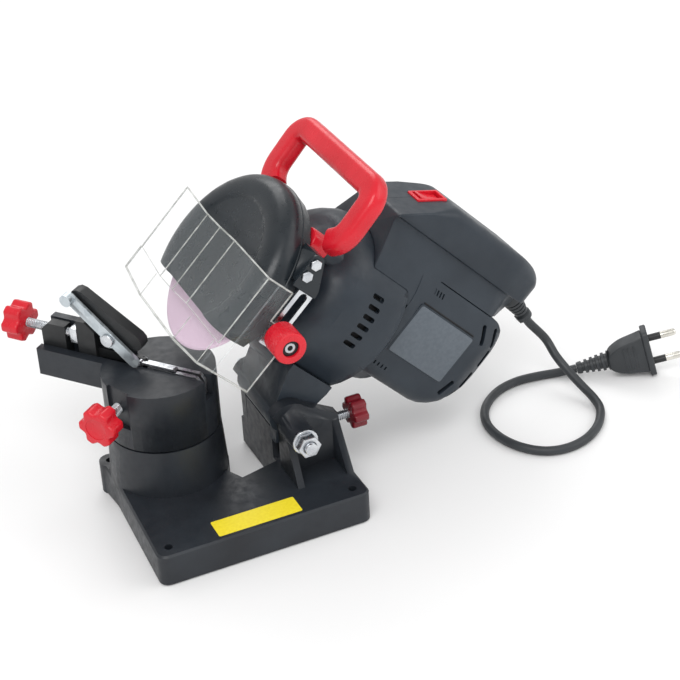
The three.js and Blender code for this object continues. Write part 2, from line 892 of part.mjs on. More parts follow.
place(viceGroup, 'clamp_lever', lever, galvanised);
const grip = cutAway(
  join(
    strap(gripEndAlong, gripEndHigh, gripTopAlong, gripTopHigh, gripHalf, -gripFar, gripNear),
    rodY(leverHub, -gripFar, gripNear, leverPinAlong, leverPinHigh),
    strap(leverPinAlong, leverPinHigh, leverPinAlong, gripEndHigh + gripHalf, leverHub,
      -gripFar, gripNear),
  ),
  leverPinHole,
);
place(viceGroup, 'lever_grip', grip, black);
const leverPin = join(
  rodY(leverPinRadius, -channelHalf - rearPlateThick - fit, leverNear + leverThick + 2 * fit,
    leverPinAlong, leverPinHigh, smallFacets),
  rodY(leverPinRadius + springRadius, leverNear + leverThick + fit,
    leverNear + leverThick + springRadius, leverPinAlong, leverPinHigh),
);
place(viceGroup, 'lever_pin', leverPin, zinc);

// Lock stud and knob on the operator's side of the turret
const lockStud = rodY(lockRadius, lockInside + fit, lockKnobNear + lockKnobLength / 2,
  lockAlong, -lockDrop - fit);
place(viceGroup, 'lock_stud', lockStud, zinc);
const lockKnob = join(
  barY(lobes(lockKnobRadius, knobLobe, lockAlong, -lockDrop - fit), lockKnobNear,
    lockKnobNear + lockKnobLength, 2 * fit),
  rodY(knobHub, lockKnobNear - knobHubLength, lockKnobNear + fit, lockAlong, -lockDrop - fit),
).subtract(rodY(lockRadius + fit, lockKnobNear - knobHubLength - overrun,
  lockKnobNear + lockKnobLength / 2 + fit, lockAlong, -lockDrop - fit));
place(viceGroup, 'lock_knob', lockKnob, red);

place(sharpener, 'vice_bolt', viceBolt, zinc);

// Head: X along the motor, Y from its middle plane, Z up from the pivot
headGroup.position.set(pivotX, headY, pivotZ);
headGroup.rotation.y = headTilt * degree;

// Gear housing: a turned drum, the hinge lug, the heel and the spindle neck
const drumShares = [
  [0, 0.56], [0.031, 0.62], [0.073, 0.79], [0.156, 0.93], [0.22, 0.99], [0.344, 1], [0.78, 1],
  [0.83, 0.98], [0.871, 0.88], [0.927, 0.74], [0.969, 0.63], [1, 0.465],
];
const gearBack = gearFront + gearLength;
function drumProfile(offset) {
  const start = gearFront + offset;
  const length = gearLength - 2 * offset;
  const wall = drumShares.map(([place1, reach]) => (
    [start + place1 * length, reach * (gearRadius - offset)]
  ));
  return [[start, 0], ...wall, [start + length, 0]];
}
const drum = turnX(drumProfile(0), 0, gearAxis, bigFacets);
const drumCavity = turnX(drumProfile(gearWall), 0, gearAxis, bigFacets);
const drumClear = turnX(drumProfile(-fit), 0, gearAxis, bigFacets);

const lugFront = frontEarRear - headY + fit;
const lugRear = rearEarFront - headY - fit;
const heelAngle = (headTilt - swingLimit) * degree;
const heelDown = [Math.sin(heelAngle), -Math.cos(heelAngle)];
const heelOut = [Math.cos(heelAngle), Math.sin(heelAngle)];
function heelPoint(down, out) {
  return [heelDown[0] * down + heelOut[0] * out, heelDown[1] * down + heelOut[1] * out];
}
const heelOutline = [
  heelPoint(0, -heelHalf),
  heelPoint(heelReach, -heelHalf),
  heelPoint(heelReach, heelHalf),
  heelPoint(0, heelHalf),
];
const lugOutline = [
  [-lugRadius, 0],
  [lugRadius, 0],
  [lugHalfWidth - lugRadius / 2, lugRise - lugRadius / 2],
  [lugHalfWidth - lugRadius / 2, lugRise],
  [-lugHalfWidth, lugRise],
  [-lugHalfWidth, lugRise - lugRadius / 2],
];
const loopFootY = loopFoot - loopBar / 4;
const bossFront = loopCentre + loopThick / 2 + fit;
const loopBosses = [-1, 1].map((side) => (
  rodX(loopBoltRadius + gearWall, bossFront, gearFront + gearWall + gearRadius / 4,
    side * loopFootY, loopFootHigh + loopBoltRadius, smallFacets)
));
const vents = [];
for (let i = 0; i < ventCount; i += 1) {
  const low = ventFirst + i * ventPitch - ventHigh / 2;
  vents.push(block(ventFrom, ventFrom + ventAlong, -gearRadius - overrun, -gearRadius / 2,
    low, low + ventHigh));
}
const neckShape = rodX(neckRadius, neckFront, neckBack, 0, spindleAxis);
const rotorSeatFrom = frontBearingFrom - fit;
const rotorSeat = rodX(bearingRadius + gearWall, rotorSeatFrom, gearBack - gearWall + fit,
  0, motorAxis);
const gearHousing = cutAway(
  join(
    drum,
    rodY(lugRadius, lugFront, lugRear, 0, 0),
    barY(lugOutline, lugFront, lugRear),
    barY(heelOutline, lugFront, depthY - headY + 2 * depthRod),
    ...loopBosses,
  ).subtract(drumCavity).add(neckShape).add(rotorSeat),
  rodX(bearingRadius + fit, neckFront - overrun, neckBack + overrun, 0, spindleAxis),
  rodX(bearingRadius + fit, frontBearingFrom - overrun, frontBearingFrom + bearingThick + fit,
    0, motorAxis),
  rodX(rotorShaft + 3 * fit, frontBearingFrom, gearBack + overrun, 0, motorAxis),
  rodY(pivotPin + fit, lugFront - overrun, lugRear + overrun, 0, 0),
  ...[-1, 1].map((side) => rodX(loopBoltRadius + fit, bossFront - overrun,
    gearFront + gearWall, side * loopFootY, loopFootHigh + loopBoltRadius, smallFacets)),
  ...vents,
);
place(headGroup, 'gear_housing', gearHousing, slate);

// Motor housing halves with bearing saddles and end vents
const motorSideShares = [
  [0, 0], [0.66, 0], [0.83, 0.1], [0.93, 0.28], [0.985, 0.517], [0.965, 0.752],
  [0.885, 0.913], [0.784, 1], [0, 1],
];
const motorPlanShares = [
  [0, -1], [0.72, -1], [0.9, -0.78], [1, -0.4], [1, 0.4], [0.9, 0.78], [0.72, 1], [0, 1],
];
function motorForm(inset) {
  const start = motorFront + inset;
  const length = motorEnd - motorFront - 2 * inset;
  const low = motorLow + inset;
  const tall = motorHigh - motorLow - 2 * inset;
  const half = motorHalf - inset;
  const side = motorSideShares.map(([a, b]) => [start + a * length, low + b * tall]);
  const plan = motorPlanShares.map(([a, b]) => [start + a * length, b * half]);
  const section = rounded(rectangle(-half, half, low, low + tall), motorCorner - inset, 4);
  return barY(rounded(side, motorCorner / 3, 2), -half, half)
    .intersect(barZ(plan, low, low + tall))
    .intersect(barX(section, start, start + length));
}
const motorShape = motorForm(0);
const saddleFrom = rotorBearingTo - saddleThick;
const saddle = block(saddleFrom, rotorBearingTo, -motorHalf, motorHalf, motorLow, motorHigh)
  .subtract(rodX(bearingRadius + fit, saddleFrom - overrun, rotorBearingTo + overrun, 0, motorAxis));
const endVents = [];
for (let i = 0; i < endVentCount; i += 1) {
  const low = plateLow + (i - 1) * endVentPitch;
  [-1, 1].forEach((side) => {
    const outer = side * (motorHalf + overrun);
    const inner = side * (motorHalf - motorCorner / 2);
    const slant = 2 * Math.abs(i - (endVentCount - 1) / 2) * endVentWide;
    endVents.push(block(saddleFrom - endVentLong - slant, saddleFrom - endVentLong - slant + endVentWide,
      Math.min(outer, inner), Math.max(outer, inner), low, low + endVentLong));
  });
}
const chamberOpen = gearBack + gearWall;
const motorCavity = motorForm(motorWall)
  .intersect(block(chamberOpen, motorEnd, -motorHalf, motorHalf, motorLow, motorHigh))
  .subtract(saddle);
const platePocket = barY(rounded(rectangle(plateFrom + motorWall, plateFrom + plateLong, plateLow,
  plateLow + plateHigh), motorWall), -motorHalf - overrun, -motorHalf + plateDeep);
const motorBody = cutAway(
  motorShape,
  drumClear,
  rodX(bearingRadius + gearWall + fit, motorFront - overrun, chamberOpen + fit, 0, motorAxis),
  motorCavity,
  platePocket,
  ...endVents,
);
const halfGap = fit / 2;
const bigReach = motorEnd + topHigh;
const nearSide = block(-bigReach, bigReach, -bigReach, -halfGap, -bigReach, bigReach);
const farSide = block(-bigReach, bigReach, halfGap, bigReach, -bigReach, bigReach);
place(headGroup, 'motor_housing_near', motorBody.intersect(nearSide), slate);
place(headGroup, 'motor_housing_far', motorBody.intersect(farSide), slate);

// Top block halves, hollow, carrying the switch
const topLength = topBack - topFront;
const topTall = topHigh - topLow;
const topRearShares = [
  [0.87, 0], [0.97, 0.42], [1, 0.6], [0.977, 0.82], [0.91, 0.946], [0.8, 1],
];
const topSide = [
  [topFront, topLow],
  ...topRearShares.map(([a, b]) => [topFront + a * topLength, topLow + b * topTall]),
  [topSlopeEnd, topHigh],
  [topFront, topShoulder],
];
const topWaistRise = topCrease - ribThick;
function topSection(inset) {
  const grip1 = topGrip - inset;
  const waist = topWaist - inset;
  const foot = topFoot - inset;
  const high = topHigh - inset;
  const roundOff = grip1 / 2;
  return [
    [-foot, topLow + inset],
    [foot, topLow + inset],
    [waist, topWaistRise],
    [grip1, topCrease],
    [grip1, high - roundOff],
    [grip1 - roundOff / 4, high - roundOff / 3],
    [grip1 - roundOff, high],
    [-grip1 + roundOff, high],
    [-grip1 + roundOff / 4, high - roundOff / 3],
    [-grip1, high - roundOff],
    [-grip1, topCrease],
    [-waist, topWaistRise],
  ];
}
const topShape = barX(topSection(0), topFront, topBack)
  .intersect(barY(rounded(topSide, topWall, 2), -topFoot, topFoot));
const topRoof = 2 * topWall;
const topCavitySide = [
  [topFront + topWall, motorHigh + topWall],
  [topBack - rockerLong / 2, motorHigh + topWall],
  [topBack - rockerLong / 2, topHigh - topRoof],
  [topSlopeEnd + topWall, topHigh - topRoof],
  [topFront + topWall, topShoulder - topWall],
];
const topCavity = barX(topSection(topWall), topFront, topBack)
  .intersect(barY(topCavitySide, -topFoot, topFoot));

// The switch sits square on the slope at the front of the block
const slopeRise = (topHigh - topShoulder) / (topSlopeEnd - topFront);
const slopeTurn = Math.atan(slopeRise) / degree;
const rockerZ = topShoulder + slopeRise * (rockerX - topFront);
function onSlope(shape) {
  return shape.rotate([0, -slopeTurn, 0]).translate([rockerX, 0, rockerZ]);
}
const bezelHalf = rockerLong / 2;
const rockerPocket = onSlope(block(-bezelHalf - fit, bezelHalf + fit, -rockerHalf - fit,
  rockerHalf + fit, -rockerDeep - fit, overrun));
const reliefX = topBack - reliefBack;
const reliefZ = topCrease - fit;
const reliefSocket = rodX(reliefRoot + fit, -overrun, overrun + overrun).rotate([0, reliefTurn, 0])
  .translate([reliefX, 0, reliefZ]);
const topBody = cutAway(topShape, drumClear, block(motorFront - overrun, topBack + overrun,
  -topFoot - overrun, topFoot + overrun, topLow - overrun, motorHigh + fit), topCavity,
rockerPocket, reliefSocket);
place(headGroup, 'top_housing_near', topBody.intersect(nearSide), slate);
place(headGroup, 'top_housing_far', topBody.intersect(farSide), slate);

// Rocker switch in its frame
const bezel = block(-bezelHalf, bezelHalf, -rockerHalf, rockerHalf, -rockerDeep, rockerProud)
  .subtract(block(-bezelHalf + rockerRim, bezelHalf - rockerRim, -rockerHalf + rockerRim,
    rockerHalf - rockerRim, -rockerDeep + rockerRim, overrun));
place(headGroup, 'rocker_frame', onSlope(bezel), red);
const rockerLow = -rockerPivotDrop - rockerDeep / 2 + rockerRim;
const rocker = barY([
  [-rockerReach, -rockerRim],
  [-rockerFoot, rockerLow],
  [rockerFoot, rockerLow],
  [rockerReach, -rockerPivotDrop],
  [rockerReach, -fit],
  [0, fit],
  [-rockerReach, rockerProud + rockerProud / 2],
], -rockerHalf + rockerRim + fit, rockerHalf - rockerRim - fit);
place(headGroup, 'rocker_switch', onSlope(rocker), red);

// Guard: rear shell and front cover, cut off below so that the disc shows
const guardFloor = block(guardFront - overrun, neckFront + overrun, -guardRadius - overrun,
  guardRadius + overrun, guardAxis - guardRadius - overrun, guardCut);
const cavityRadius = guardRadius - guardWall;
const coverProfile = [
  [guardFront, 0],
  [guardFront, guardRadius - guardRim],
  [guardFront + guardRim / 4, guardRadius - guardRim / 3],
  [guardFront + guardRim, guardRadius],
  [guardSeam - fit, guardRadius],
  [guardSeam - fit, cavityRadius],
  [guardFront + guardRim, cavityRadius],
  [guardFront + guardRim / 3, guardRadius - guardRim],
  [guardFront + guardWall + guardRecess, guardRecessRadius],
  [guardFront + guardWall + guardRecess, 0],
];
const guardCover = turnX(coverProfile, 0, guardAxis, bigFacets)
  .subtract(rodX(guardRecessRadius, guardFront - overrun, guardFront + guardRecess, 0, guardAxis,
    bigFacets))
  .subtract(guardFloor);
place(headGroup, 'guard_cover', guardCover, slate);

const backProfile = [
  [guardSeam, guardBackRadius],
  [guardBack, guardBackRadius - guardBackWall / 2],
  [guardBack, 0],
  [guardBack - guardBackWall, 0],
  [guardBack - guardBackWall, guardBackRadius - guardBackWall],
  [guardSeam, guardBackRadius - guardBackWall],
  [guardSeam, guardBackRadius],
];
const bracketSide = strapSide - strapThick - fit;
const bracket = block(guardSeam + fit, guardBack, -bracketSide, -bracketSide + neckRadius,
  bracketLow, strapHigh);
const backClear = rodX(guardBackRadius - guardBackWall, guardSeam - overrun,
  guardBack - guardBackWall, 0, guardAxis, bigFacets);
const guardRear = cutAway(
  join(turnX(backProfile, 0, guardAxis, bigFacets), bracket).subtract(backClear),
  guardFloor,
  rodX(spindleRadius + gearWall, guardSeam - overrun, neckFront + overrun, 0, spindleAxis),
  ...[strapBoltLow, strapBoltHigh].map((z) => rodY(studRadius + fit, -bracketSide - overrun,
    -bracketSide + neckRadius / 2, (guardSeam + guardBack) / 2, z, smallFacets)),
);
place(headGroup, 'guard_back', guardRear, slate);

// Spindle set, which turns with the disc
const discBack = discFace + discThick;
const innerFlangeBack = discBack + fit + flangeThick;
const gearFrom = neckBack + fit;
const module = 2 * (motorAxis - spindleAxis) / (gearTeeth + pinionTeeth);
const spindle = rodX(spindleRadius, spindleTip, gearFrom + gearThick + 2 * fit, 0, spindleAxis);
place(headGroup, 'spindle', spindle, steel);
const spindleClear = spindleRadius + fit;
const disc = rodX(discRadius, discFace, discBack, 0, spindleAxis, bigFacets + roundFacets)
  .subtract(rodX(discBore, discFace - overrun, discBack + overrun, 0, spindleAxis));
place(headGroup, 'grinding_disc', disc, lilac);
const innerFlange = join(
  rodX(flangeRadius, discBack + fit, innerFlangeBack, 0, spindleAxis),
  rodX(discBore - fit, discFace + discThick / 2, innerFlangeBack, 0, spindleAxis),
).subtract(rodX(spindleClear, discFace - overrun, innerFlangeBack + overrun, 0, spindleAxis));
place(headGroup, 'flange_inner', innerFlange, zinc);
const outerFlangeFront = discFace - fit - flangeThick;
const discNutFront = outerFlangeFront - discNutThick;
const discNut = join(
  rodX(flangeRadius, outerFlangeFront, discFace - fit, 0, spindleAxis),
  barX(hexagon(discNutAcross, 0, spindleAxis), discNutFront, outerFlangeFront + fit),
).subtract(rodX(spindleClear, discNutFront - overrun, discFace + overrun, 0, spindleAxis));
place(headGroup, 'disc_nut', discNut, zinc);
const spindleGear = barX(toothed(gearTeeth, module, 0, spindleAxis, Math.PI / 2), gearFrom,
  gearFrom + gearThick)
  .subtract(rodX(spindleClear, gearFrom - overrun, gearFrom + gearThick + overrun, 0, spindleAxis));
place(headGroup, 'spindle_gear', spindleGear, brass);
function bearing(from, shaft, z) {
  return rodX(bearingRadius, from, from + bearingThick, 0, z)
    .subtract(rodX(shaft + fit, from - overrun, from + bearingThick + overrun, 0, z));
}
place(headGroup, 'spindle_bearing_front', bearing(neckFront + fit, spindleRadius, spindleAxis), steel);
place(headGroup, 'spindle_bearing_rear', bearing(neckBack - bearingThick, spindleRadius, spindleAxis),
  steel);

// Rotor: shaft with pinion, armature and commutator; fan; bearings; stator and brushes
const pinionTurn = -Math.PI / 2 + Math.PI / pinionTeeth;
const rotor = join(
  rodX(rotorShaft, gearFrom + fit, rotorBearingTo + fit, 0, motorAxis),
  barX(toothed(pinionTeeth, module, 0, motorAxis, pinionTurn), gearFrom + fit,
    gearFrom + gearThick + fit),
  rodX(rotorRadius, rotorFrom, rotorTo, 0, motorAxis),
  rodX(commutatorRadius, rotorTo + rotorShaft, commutatorTo - fit, 0, motorAxis),
);
place(headGroup, 'rotor', rotor, steel);
const fanFrom = chamberOpen + fit;
const fanTo = fanFrom + fanThick;
const blades = [];
for (let i = 0; i < fanBlades; i += 1) {
  blades.push(block(fanFrom + fanThick / 4, fanTo, -fit - fit, fit + fit, fanHub - fit, fanRadius)
    .rotate([360 * i / fanBlades, 0, 0]).translate([0, 0, motorAxis]));
}
const fan = join(
  rodX(fanRadius, fanFrom + fit, fanFrom + fanThick / 3, 0, motorAxis),
  rodX(fanHub, fanFrom + fit, fanTo, 0, motorAxis),
  ...blades,
).subtract(rodX(rotorShaft + fit, fanFrom - overrun, fanTo + overrun, 0, motorAxis));
place(headGroup, 'cooling_fan', fan, black);
place(headGroup, 'rotor_bearing_front', bearing(frontBearingFrom, rotorShaft, motorAxis), steel);
place(headGroup, 'rotor_bearing_rear', bearing(rotorBearingTo - bearingThick, rotorShaft, motorAxis),
  steel);
const chamberHalf = motorHalf - motorWall - fit;
const stator = barX(rounded(rectangle(-chamberHalf, chamberHalf, motorAxis - statorRadius,
  motorAxis + statorRadius), motorCorner, 4), rotorFrom, rotorTo)
  .subtract(rodX(rotorRadius + 2 * fit, rotorFrom - overrun, rotorTo + overrun, 0, motorAxis));
place(headGroup, 'stator', stator, copper);
[-1, 1].forEach((side) => {
  const inner = side * (commutatorRadius + 2 * fit);
  const outer = side * chamberHalf;
  const name = side < 0 ? 'brush_holder_near' : 'brush_holder_far';
  place(headGroup, name, block(commutatorTo - fit - brushWide, commutatorTo - fit,
    Math.min(inner, outer), Math.max(inner, outer), motorAxis - brushWide / 2,
    motorAxis + brushWide / 2), brass);
});

// Loop handle in a plane across the motor, held by two bolts to the gear housing
const loopHalf = loopBar / 2;
const loopSide = loopOuter - loopHalf;
const loopLine = [
  [-loopFoot + loopHalf / 2, loopFootHigh + fit],
  [-(loopFoot + loopSide) / 2, (loopFootHigh + loopHip) / 2],
  [-loopSide + fit, loopHip + fit],
  [-loopSide, (loopHip + loopShoulder) / 2],
  [-loopSide, loopShoulder - loopHalf / 2],
  [-loopTopHalf + loopHalf, loopHigh - loopHalf - fit],
  [-loopTopHalf + loopBar + loopHalf, loopHigh - loopHalf],
];
const loopMirror = loopLine.map(([y, z]) => [-y, z]).reverse();
const loopPath = new THREE.CatmullRomCurve3(
  [...loopLine, ...loopMirror].map(([y, z]) => new THREE.Vector3(loopCentre, y, z)),
  false, 'centripetal',
);
const loopHalfThick = loopThick / 2;
const loopSection = new THREE.Shape(rounded(
  rectangle(-loopHalfThick, loopHalfThick, -loopHalf, loopHalf), loopEdge, 2,
).map(([a, b]) => new THREE.Vector2(a, b)));
const loopBolts = [-1, 1].map((side) => [side * loopFootY, loopFootHigh + loopBoltRadius]);
const loopPads = loopBolts.map(([y, z]) => (
  rodX(loopBoltRadius + 2 * ribThick, loopCentre - loopHalfThick + loopEdge / 3,
    loopCentre + loopHalfThick, y, z)
));
const loopHandle = cutAway(
  join(solid(new THREE.ExtrudeGeometry(loopSection, {
    steps: 34,
    bevelEnabled: false,
    extrudePath: loopPath,
  })), ...loopPads),
  ...loopBolts.map(([y, z]) => rodX(loopBoltRadius + fit, loopCentre - loopHalfThick - overrun,
    loopCentre + loopHalfThick + overrun, y, z, smallFacets)),
);
place(headGroup, 'loop_handle', loopHandle, red);
const loopBoltHeadAt = loopCentre - loopHalfThick + loopEdge / 3 - fit;
loopBolts.forEach(([y, z], i) => {
  const bolt = rodX(loopBoltRadius, loopBoltHeadAt - fit, gearFront + gearWall - fit, y, z,
    smallFacets);
  place(headGroup, i ? 'loop_bolt_far' : 'loop_bolt_near', bolt, zinc);
});

// Shield: folded clear sheet with a flared lower edge and the tab under the thumb nut
function sheet(points, thickness) {
  const offsets = points.map((here, i) => {
    const a = points[Math.max(i - 1, 0)];
    const b = points[Math.min(i + 1, points.length - 1)];
    const run = new THREE.Vector2(b[0] - a[0], b[1] - a[1]).normalize();
    return [here[0] + run.y * thickness, here[1] - run.x * thickness];
  });
  return [...points, ...offsets.reverse()];
}
const shieldNear = shieldGap - guardFront;
const shieldFar = shieldNear + shieldBow;
const flatShare = 0.21;
const cornerShare = 0.24;
const flareShare = 0.65;
const flareDropShare = 0.8;
const shieldUpper = [
  [-shieldNear + overrun + overrun, -shieldSide],
  [-shieldNear - fit, -shieldSide],
  [-shieldNear - 3 * fit, -shieldSide * flatShare],
  [-shieldFar + shieldThick, 0],
  [-shieldFar, shieldBackY * cornerShare],
  [-shieldNear + shieldThick / 2, shieldBackY],
];
const flare = 2 * shieldThick;
const shieldLower = [
  [-shieldNear + overrun + overrun, -shieldSide],
  [-shieldNear - flare, -shieldSide],
  [-shieldFar - flare, -shieldSide * flareShare],
  [-shieldFar - flare * flareDropShare, shieldBackY * cornerShare],
  [-shieldNear + shieldThick / 4, shieldBackY],
];
const ledge = [...shieldUpper.slice(1), ...shieldLower.slice(1).reverse()];
const shieldPanel = block(-shieldNear - fit, -shieldTab, -shieldSide, -shieldSide + shieldThick,
  shieldBottom, shieldTabTop);
const shieldUpperSide = block(-shieldNear - fit, -shieldNear + 5 * overrun, -shieldSide,
  -shieldSide + shieldThick, shieldBottom, shieldTop);
const shieldShape = join(
  barZ(sheet(shieldUpper, -shieldThick), shieldFold - shieldThick / 2, shieldTop),
  barZ(sheet(shieldLower, -shieldThick), shieldBottom, shieldFold + shieldThick / 2),
  barZ(ledge, shieldFold - shieldThick / 2, shieldFold + shieldThick / 2),
  shieldPanel,
  shieldUpperSide,
).subtract(rodY(studRadius + fit, -shieldSide - overrun, -shieldSide + overrun, strapAlong, studHigh,
  smallFacets));
place(headGroup, 'shield', shieldShape, clear);

// Slotted strap bolted to the guard; the shield's stud slides in its slot
const strapHalf = strapWide / 2;
const strapLeft = (guardSeam + guardBack) / 2 - strapHalf / 2 - fit;
const strapOutline = rounded([
  [strapAlong - strapHalf, strapLow],
  [strapAlong + strapHalf, strapLow],
  [strapAlong + strapHalf, slotHigh + strapHalf],
  [guardBack, strapHigh],
  [strapLeft, strapHigh],
  [strapLeft, bracketLow],
], slotHalf);
const slot = [
  ...arc(strapAlong, slotHigh, slotHalf, 0, 180, 6),
  ...arc(strapAlong, slotLow, slotHalf, 180, 360, 6),
];
const boltX = (guardSeam + guardBack) / 2;
const slottedStrap = cutAway(
  barY(strapOutline, -strapSide, -strapSide + strapThick),
  barY(slot, -strapSide - overrun, -strapSide + overrun),
  ...[strapBoltLow, strapBoltHigh].map((z) => rodY(studRadius + fit, -strapSide - overrun,
    -strapSide + overrun, boltX, z, smallFacets)),
);
place(headGroup, 'shield_strap', slottedStrap, zinc);
[strapBoltLow, strapBoltHigh].forEach((z, i) => {
  const bolt = join(
    rodY(studRadius, -strapSide - fit - fit, -bracketSide + neckRadius / 3, boltX, z, smallFacets),
    barY(hexagon(2 * studRadius + strapThick, boltX, z), -strapSide - fit - studHeadThick,
      -strapSide - fit),
  );
  place(headGroup, i ? 'strap_bolt_upper' : 'strap_bolt_lower', bolt, zinc);
});
const studTip = -shieldSide - fit - thumbLength / 2;
const stud = join(
  rodY(studRadius, studTip, -strapSide + strapThick + 2 * fit, strapAlong, studHigh, smallFacets),
  rodY(studHead, -strapSide + strapThick + fit, -strapSide + strapThick + fit + studHeadThick,
    strapAlong, studHigh, smallFacets),
  rodY(studHead, -shieldSide + shieldThick + fit, -strapSide - fit, strapAlong, studHigh,
    smallFacets),
);
place(headGroup, 'shield_stud', stud, zinc);
const thumbStart = -shieldSide - fit - thumbLength;
const thumbNut = barY(lobes(thumbRadius, studRadius / 2, strapAlong, studHigh), thumbStart,
  -shieldSide - fit, 2 * fit)
  .subtract(rodY(studRadius + fit, studTip - fit, -shieldSide + overrun, strapAlong, studHigh,
    smallFacets))
  .subtract(rodY(thumbRadius / 2, thumbStart - overrun, thumbStart + studHeadThick, strapAlong,
    studHigh));
place(headGroup, 'shield_thumb_nut', thumbNut, red);

// Strain relief: a tapered sleeve from the end of the top block
const reliefProfile = [
  [fit, 0],
  [fit, reliefRoot],
  [overrun, reliefRoot],
  [reliefLength - overrun, reliefTip + fit],
  [reliefLength - overrun, reliefCollar],
  [reliefLength, reliefCollar],
  [reliefLength, 0],
];
const relief = turnX(reliefProfile);
const reliefMesh = place(headGroup, 'strain_relief', relief, rubber);
reliefMesh.position.set(reliefX, 0, reliefZ);
reliefMesh.rotation.y = reliefTurn * degree;

// Cord: its route as it lies in the photograph
const cordRoute = [
  [243.4, 30, 38.5], [245.4, 27.6, 32.5], [247.6, 17.6, 24], [251.2, 7.7, 16.5], [255, -3.6, 10],
  [257.4, -14.4, 6], [256.4, -25, 4.1], [251, -34.4, 3.4], [242.4, -43.4, 3.2],
  [228.6, -51.4, 3.2], [213.3, -53.8, 3.2], [199.7, -49.8, 3.2], [188.3, -38.4, 3.2],
  [181.9, -22.4, 3.2], [181.7, -5.6, 3.2], [187.2, 8.2, 3.2], [196.3, 18.6, 3.2],
  [209.4, 26.8, 3.2], [224.7, 30.4, 3.2], [240, 29.2, 3.2], [252.5, 26.4, 3.4],
  [261, 23.2, 4.6],
];
headGroup.updateMatrix();
const reliefEnd = new THREE.Vector3(reliefLength + fit, 0, 0)
  .applyAxisAngle(new THREE.Vector3(0, 1, 0), reliefTurn * degree)
  .add(new THREE.Vector3(reliefX, 0, reliefZ));
const leaving = reliefEnd.clone().add(new THREE.Vector3(2 * cordRadius, 0, 0)
  .applyAxisAngle(new THREE.Vector3(0, 1, 0), reliefTurn * degree));
[reliefEnd, leaving].forEach((point) => point.applyMatrix4(headGroup.matrix));
const plugDirectionShares = [0.88, -0.41, 0.25];
const plugDirection = new THREE.Vector3(...plugDirectionShares).normalize();
const routePoints = cordRoute.map((point) => new THREE.Vector3(...point));
const routeLast = routePoints[routePoints.length - 1];
const cordEnd = routeLast.clone().addScaledVector(plugDirection, 2 * cordRadius);
const cordPath = new THREE.CatmullRomCurve3([reliefEnd, leaving, ...routePoints.slice(1), cordEnd],
  false, 'centripetal');
const cordSection = new THREE.Shape(regular(8, cordRadius).map(([a, b]) => new THREE.Vector2(a, b)));
const cord = new THREE.ExtrudeGeometry(cordSection, {
  steps: 46,
  bevelEnabled: false,
  extrudePath: cordPath,
});
place(sharpener, 'cord', solid(cord), rubber);

// Plug lying beside the loop, turned on its edge
const plugGroup = new THREE.Group();
sharpener.add(plugGroup);
const plugStart = cordEnd.clone().addScaledVector(plugDirection, fit);
const plugUp = new THREE.Vector3(0, 0, 1);
const plugSide = plugUp.clone().cross(plugDirection).normalize();
const plugLift = plugDirection.clone().cross(plugSide).normalize();
plugGroup.quaternion.setFromRotationMatrix(
  new THREE.Matrix4().makeBasis(plugDirection, plugSide, plugLift),
);
plugGroup.position.copy(plugStart);
const sleeveEnd = plugReliefLength;
const flangeStart = sleeveEnd + plugLength;
const ribShares = [0.12, 0.3, 0.48, 0.66];
const sleeveProfile = [[0, 0], [0, cordRadius + ribThick / 2]];
ribShares.forEach((share) => {
  const at = share * plugReliefLength;
  const outer = cordRadius + ribThick / 2 + share * ribThick;
  sleeveProfile.push([at, outer], [at, outer - ribThick / 3], [at + ribThick / 2, outer - ribThick / 3],
    [at + ribThick / 2, outer]);
});
sleeveProfile.push([sleeveEnd + fit, cordRadius + 2 * ribThick], [sleeveEnd + fit, 0]);
const plugHalf = flangeLong / 2;
const plugWideHalf = flangeWide / 2;
const plugNeck = cordRadius + ribThick;
const plugWaistShare = 0.62;
const plugShoulderShare = 0.82;
const plugFlatShare = 0.8;
const plugFlat = plugWideHalf * plugFlatShare;
const plugWaist = plugHalf * plugWaistShare;
const plugShoulder = plugHalf * plugShoulderShare;
const plugBody = join(
  turnX(sleeveProfile, 0, 0, 16),
  barY([
    [sleeveEnd, -plugNeck],
    [sleeveEnd + plugLength / 3, -plugWaist],
    [flangeStart, -plugShoulder],
    [flangeStart, plugShoulder],
    [sleeveEnd + plugLength / 3, plugWaist],
    [sleeveEnd, plugNeck],
  ], -plugFlat, plugFlat, ribThick / 2),
  barX(rounded(rectangle(-plugWideHalf, plugWideHalf, -plugHalf, plugHalf), plugWideHalf / 2),
    flangeStart - fit, flangeStart + plugFlange, fit),
).subtract(join(...[-1, 1].map((side) => rodX(pinRadius + fit, flangeStart - overrun,
  flangeStart + plugFlange + overrun, 0, side * pinSpacing / 2, smallFacets))));
place(plugGroup, 'plug', plugBody, rubber);
[-1, 1].forEach((side) => {
  const pin = rodX(pinRadius, flangeStart - overrun + fit, flangeStart + plugFlange + pinLength,
    0, side * pinSpacing / 2, smallFacets);
  place(plugGroup, side < 0 ? 'plug_pin_lower' : 'plug_pin_upper', pin, brass);
});

export default sharpener;
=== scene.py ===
"""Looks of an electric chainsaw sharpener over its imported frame, in metres, +Z up."""
import json
import math

import bmesh
import bpy
from mathutils import Matrix, Vector


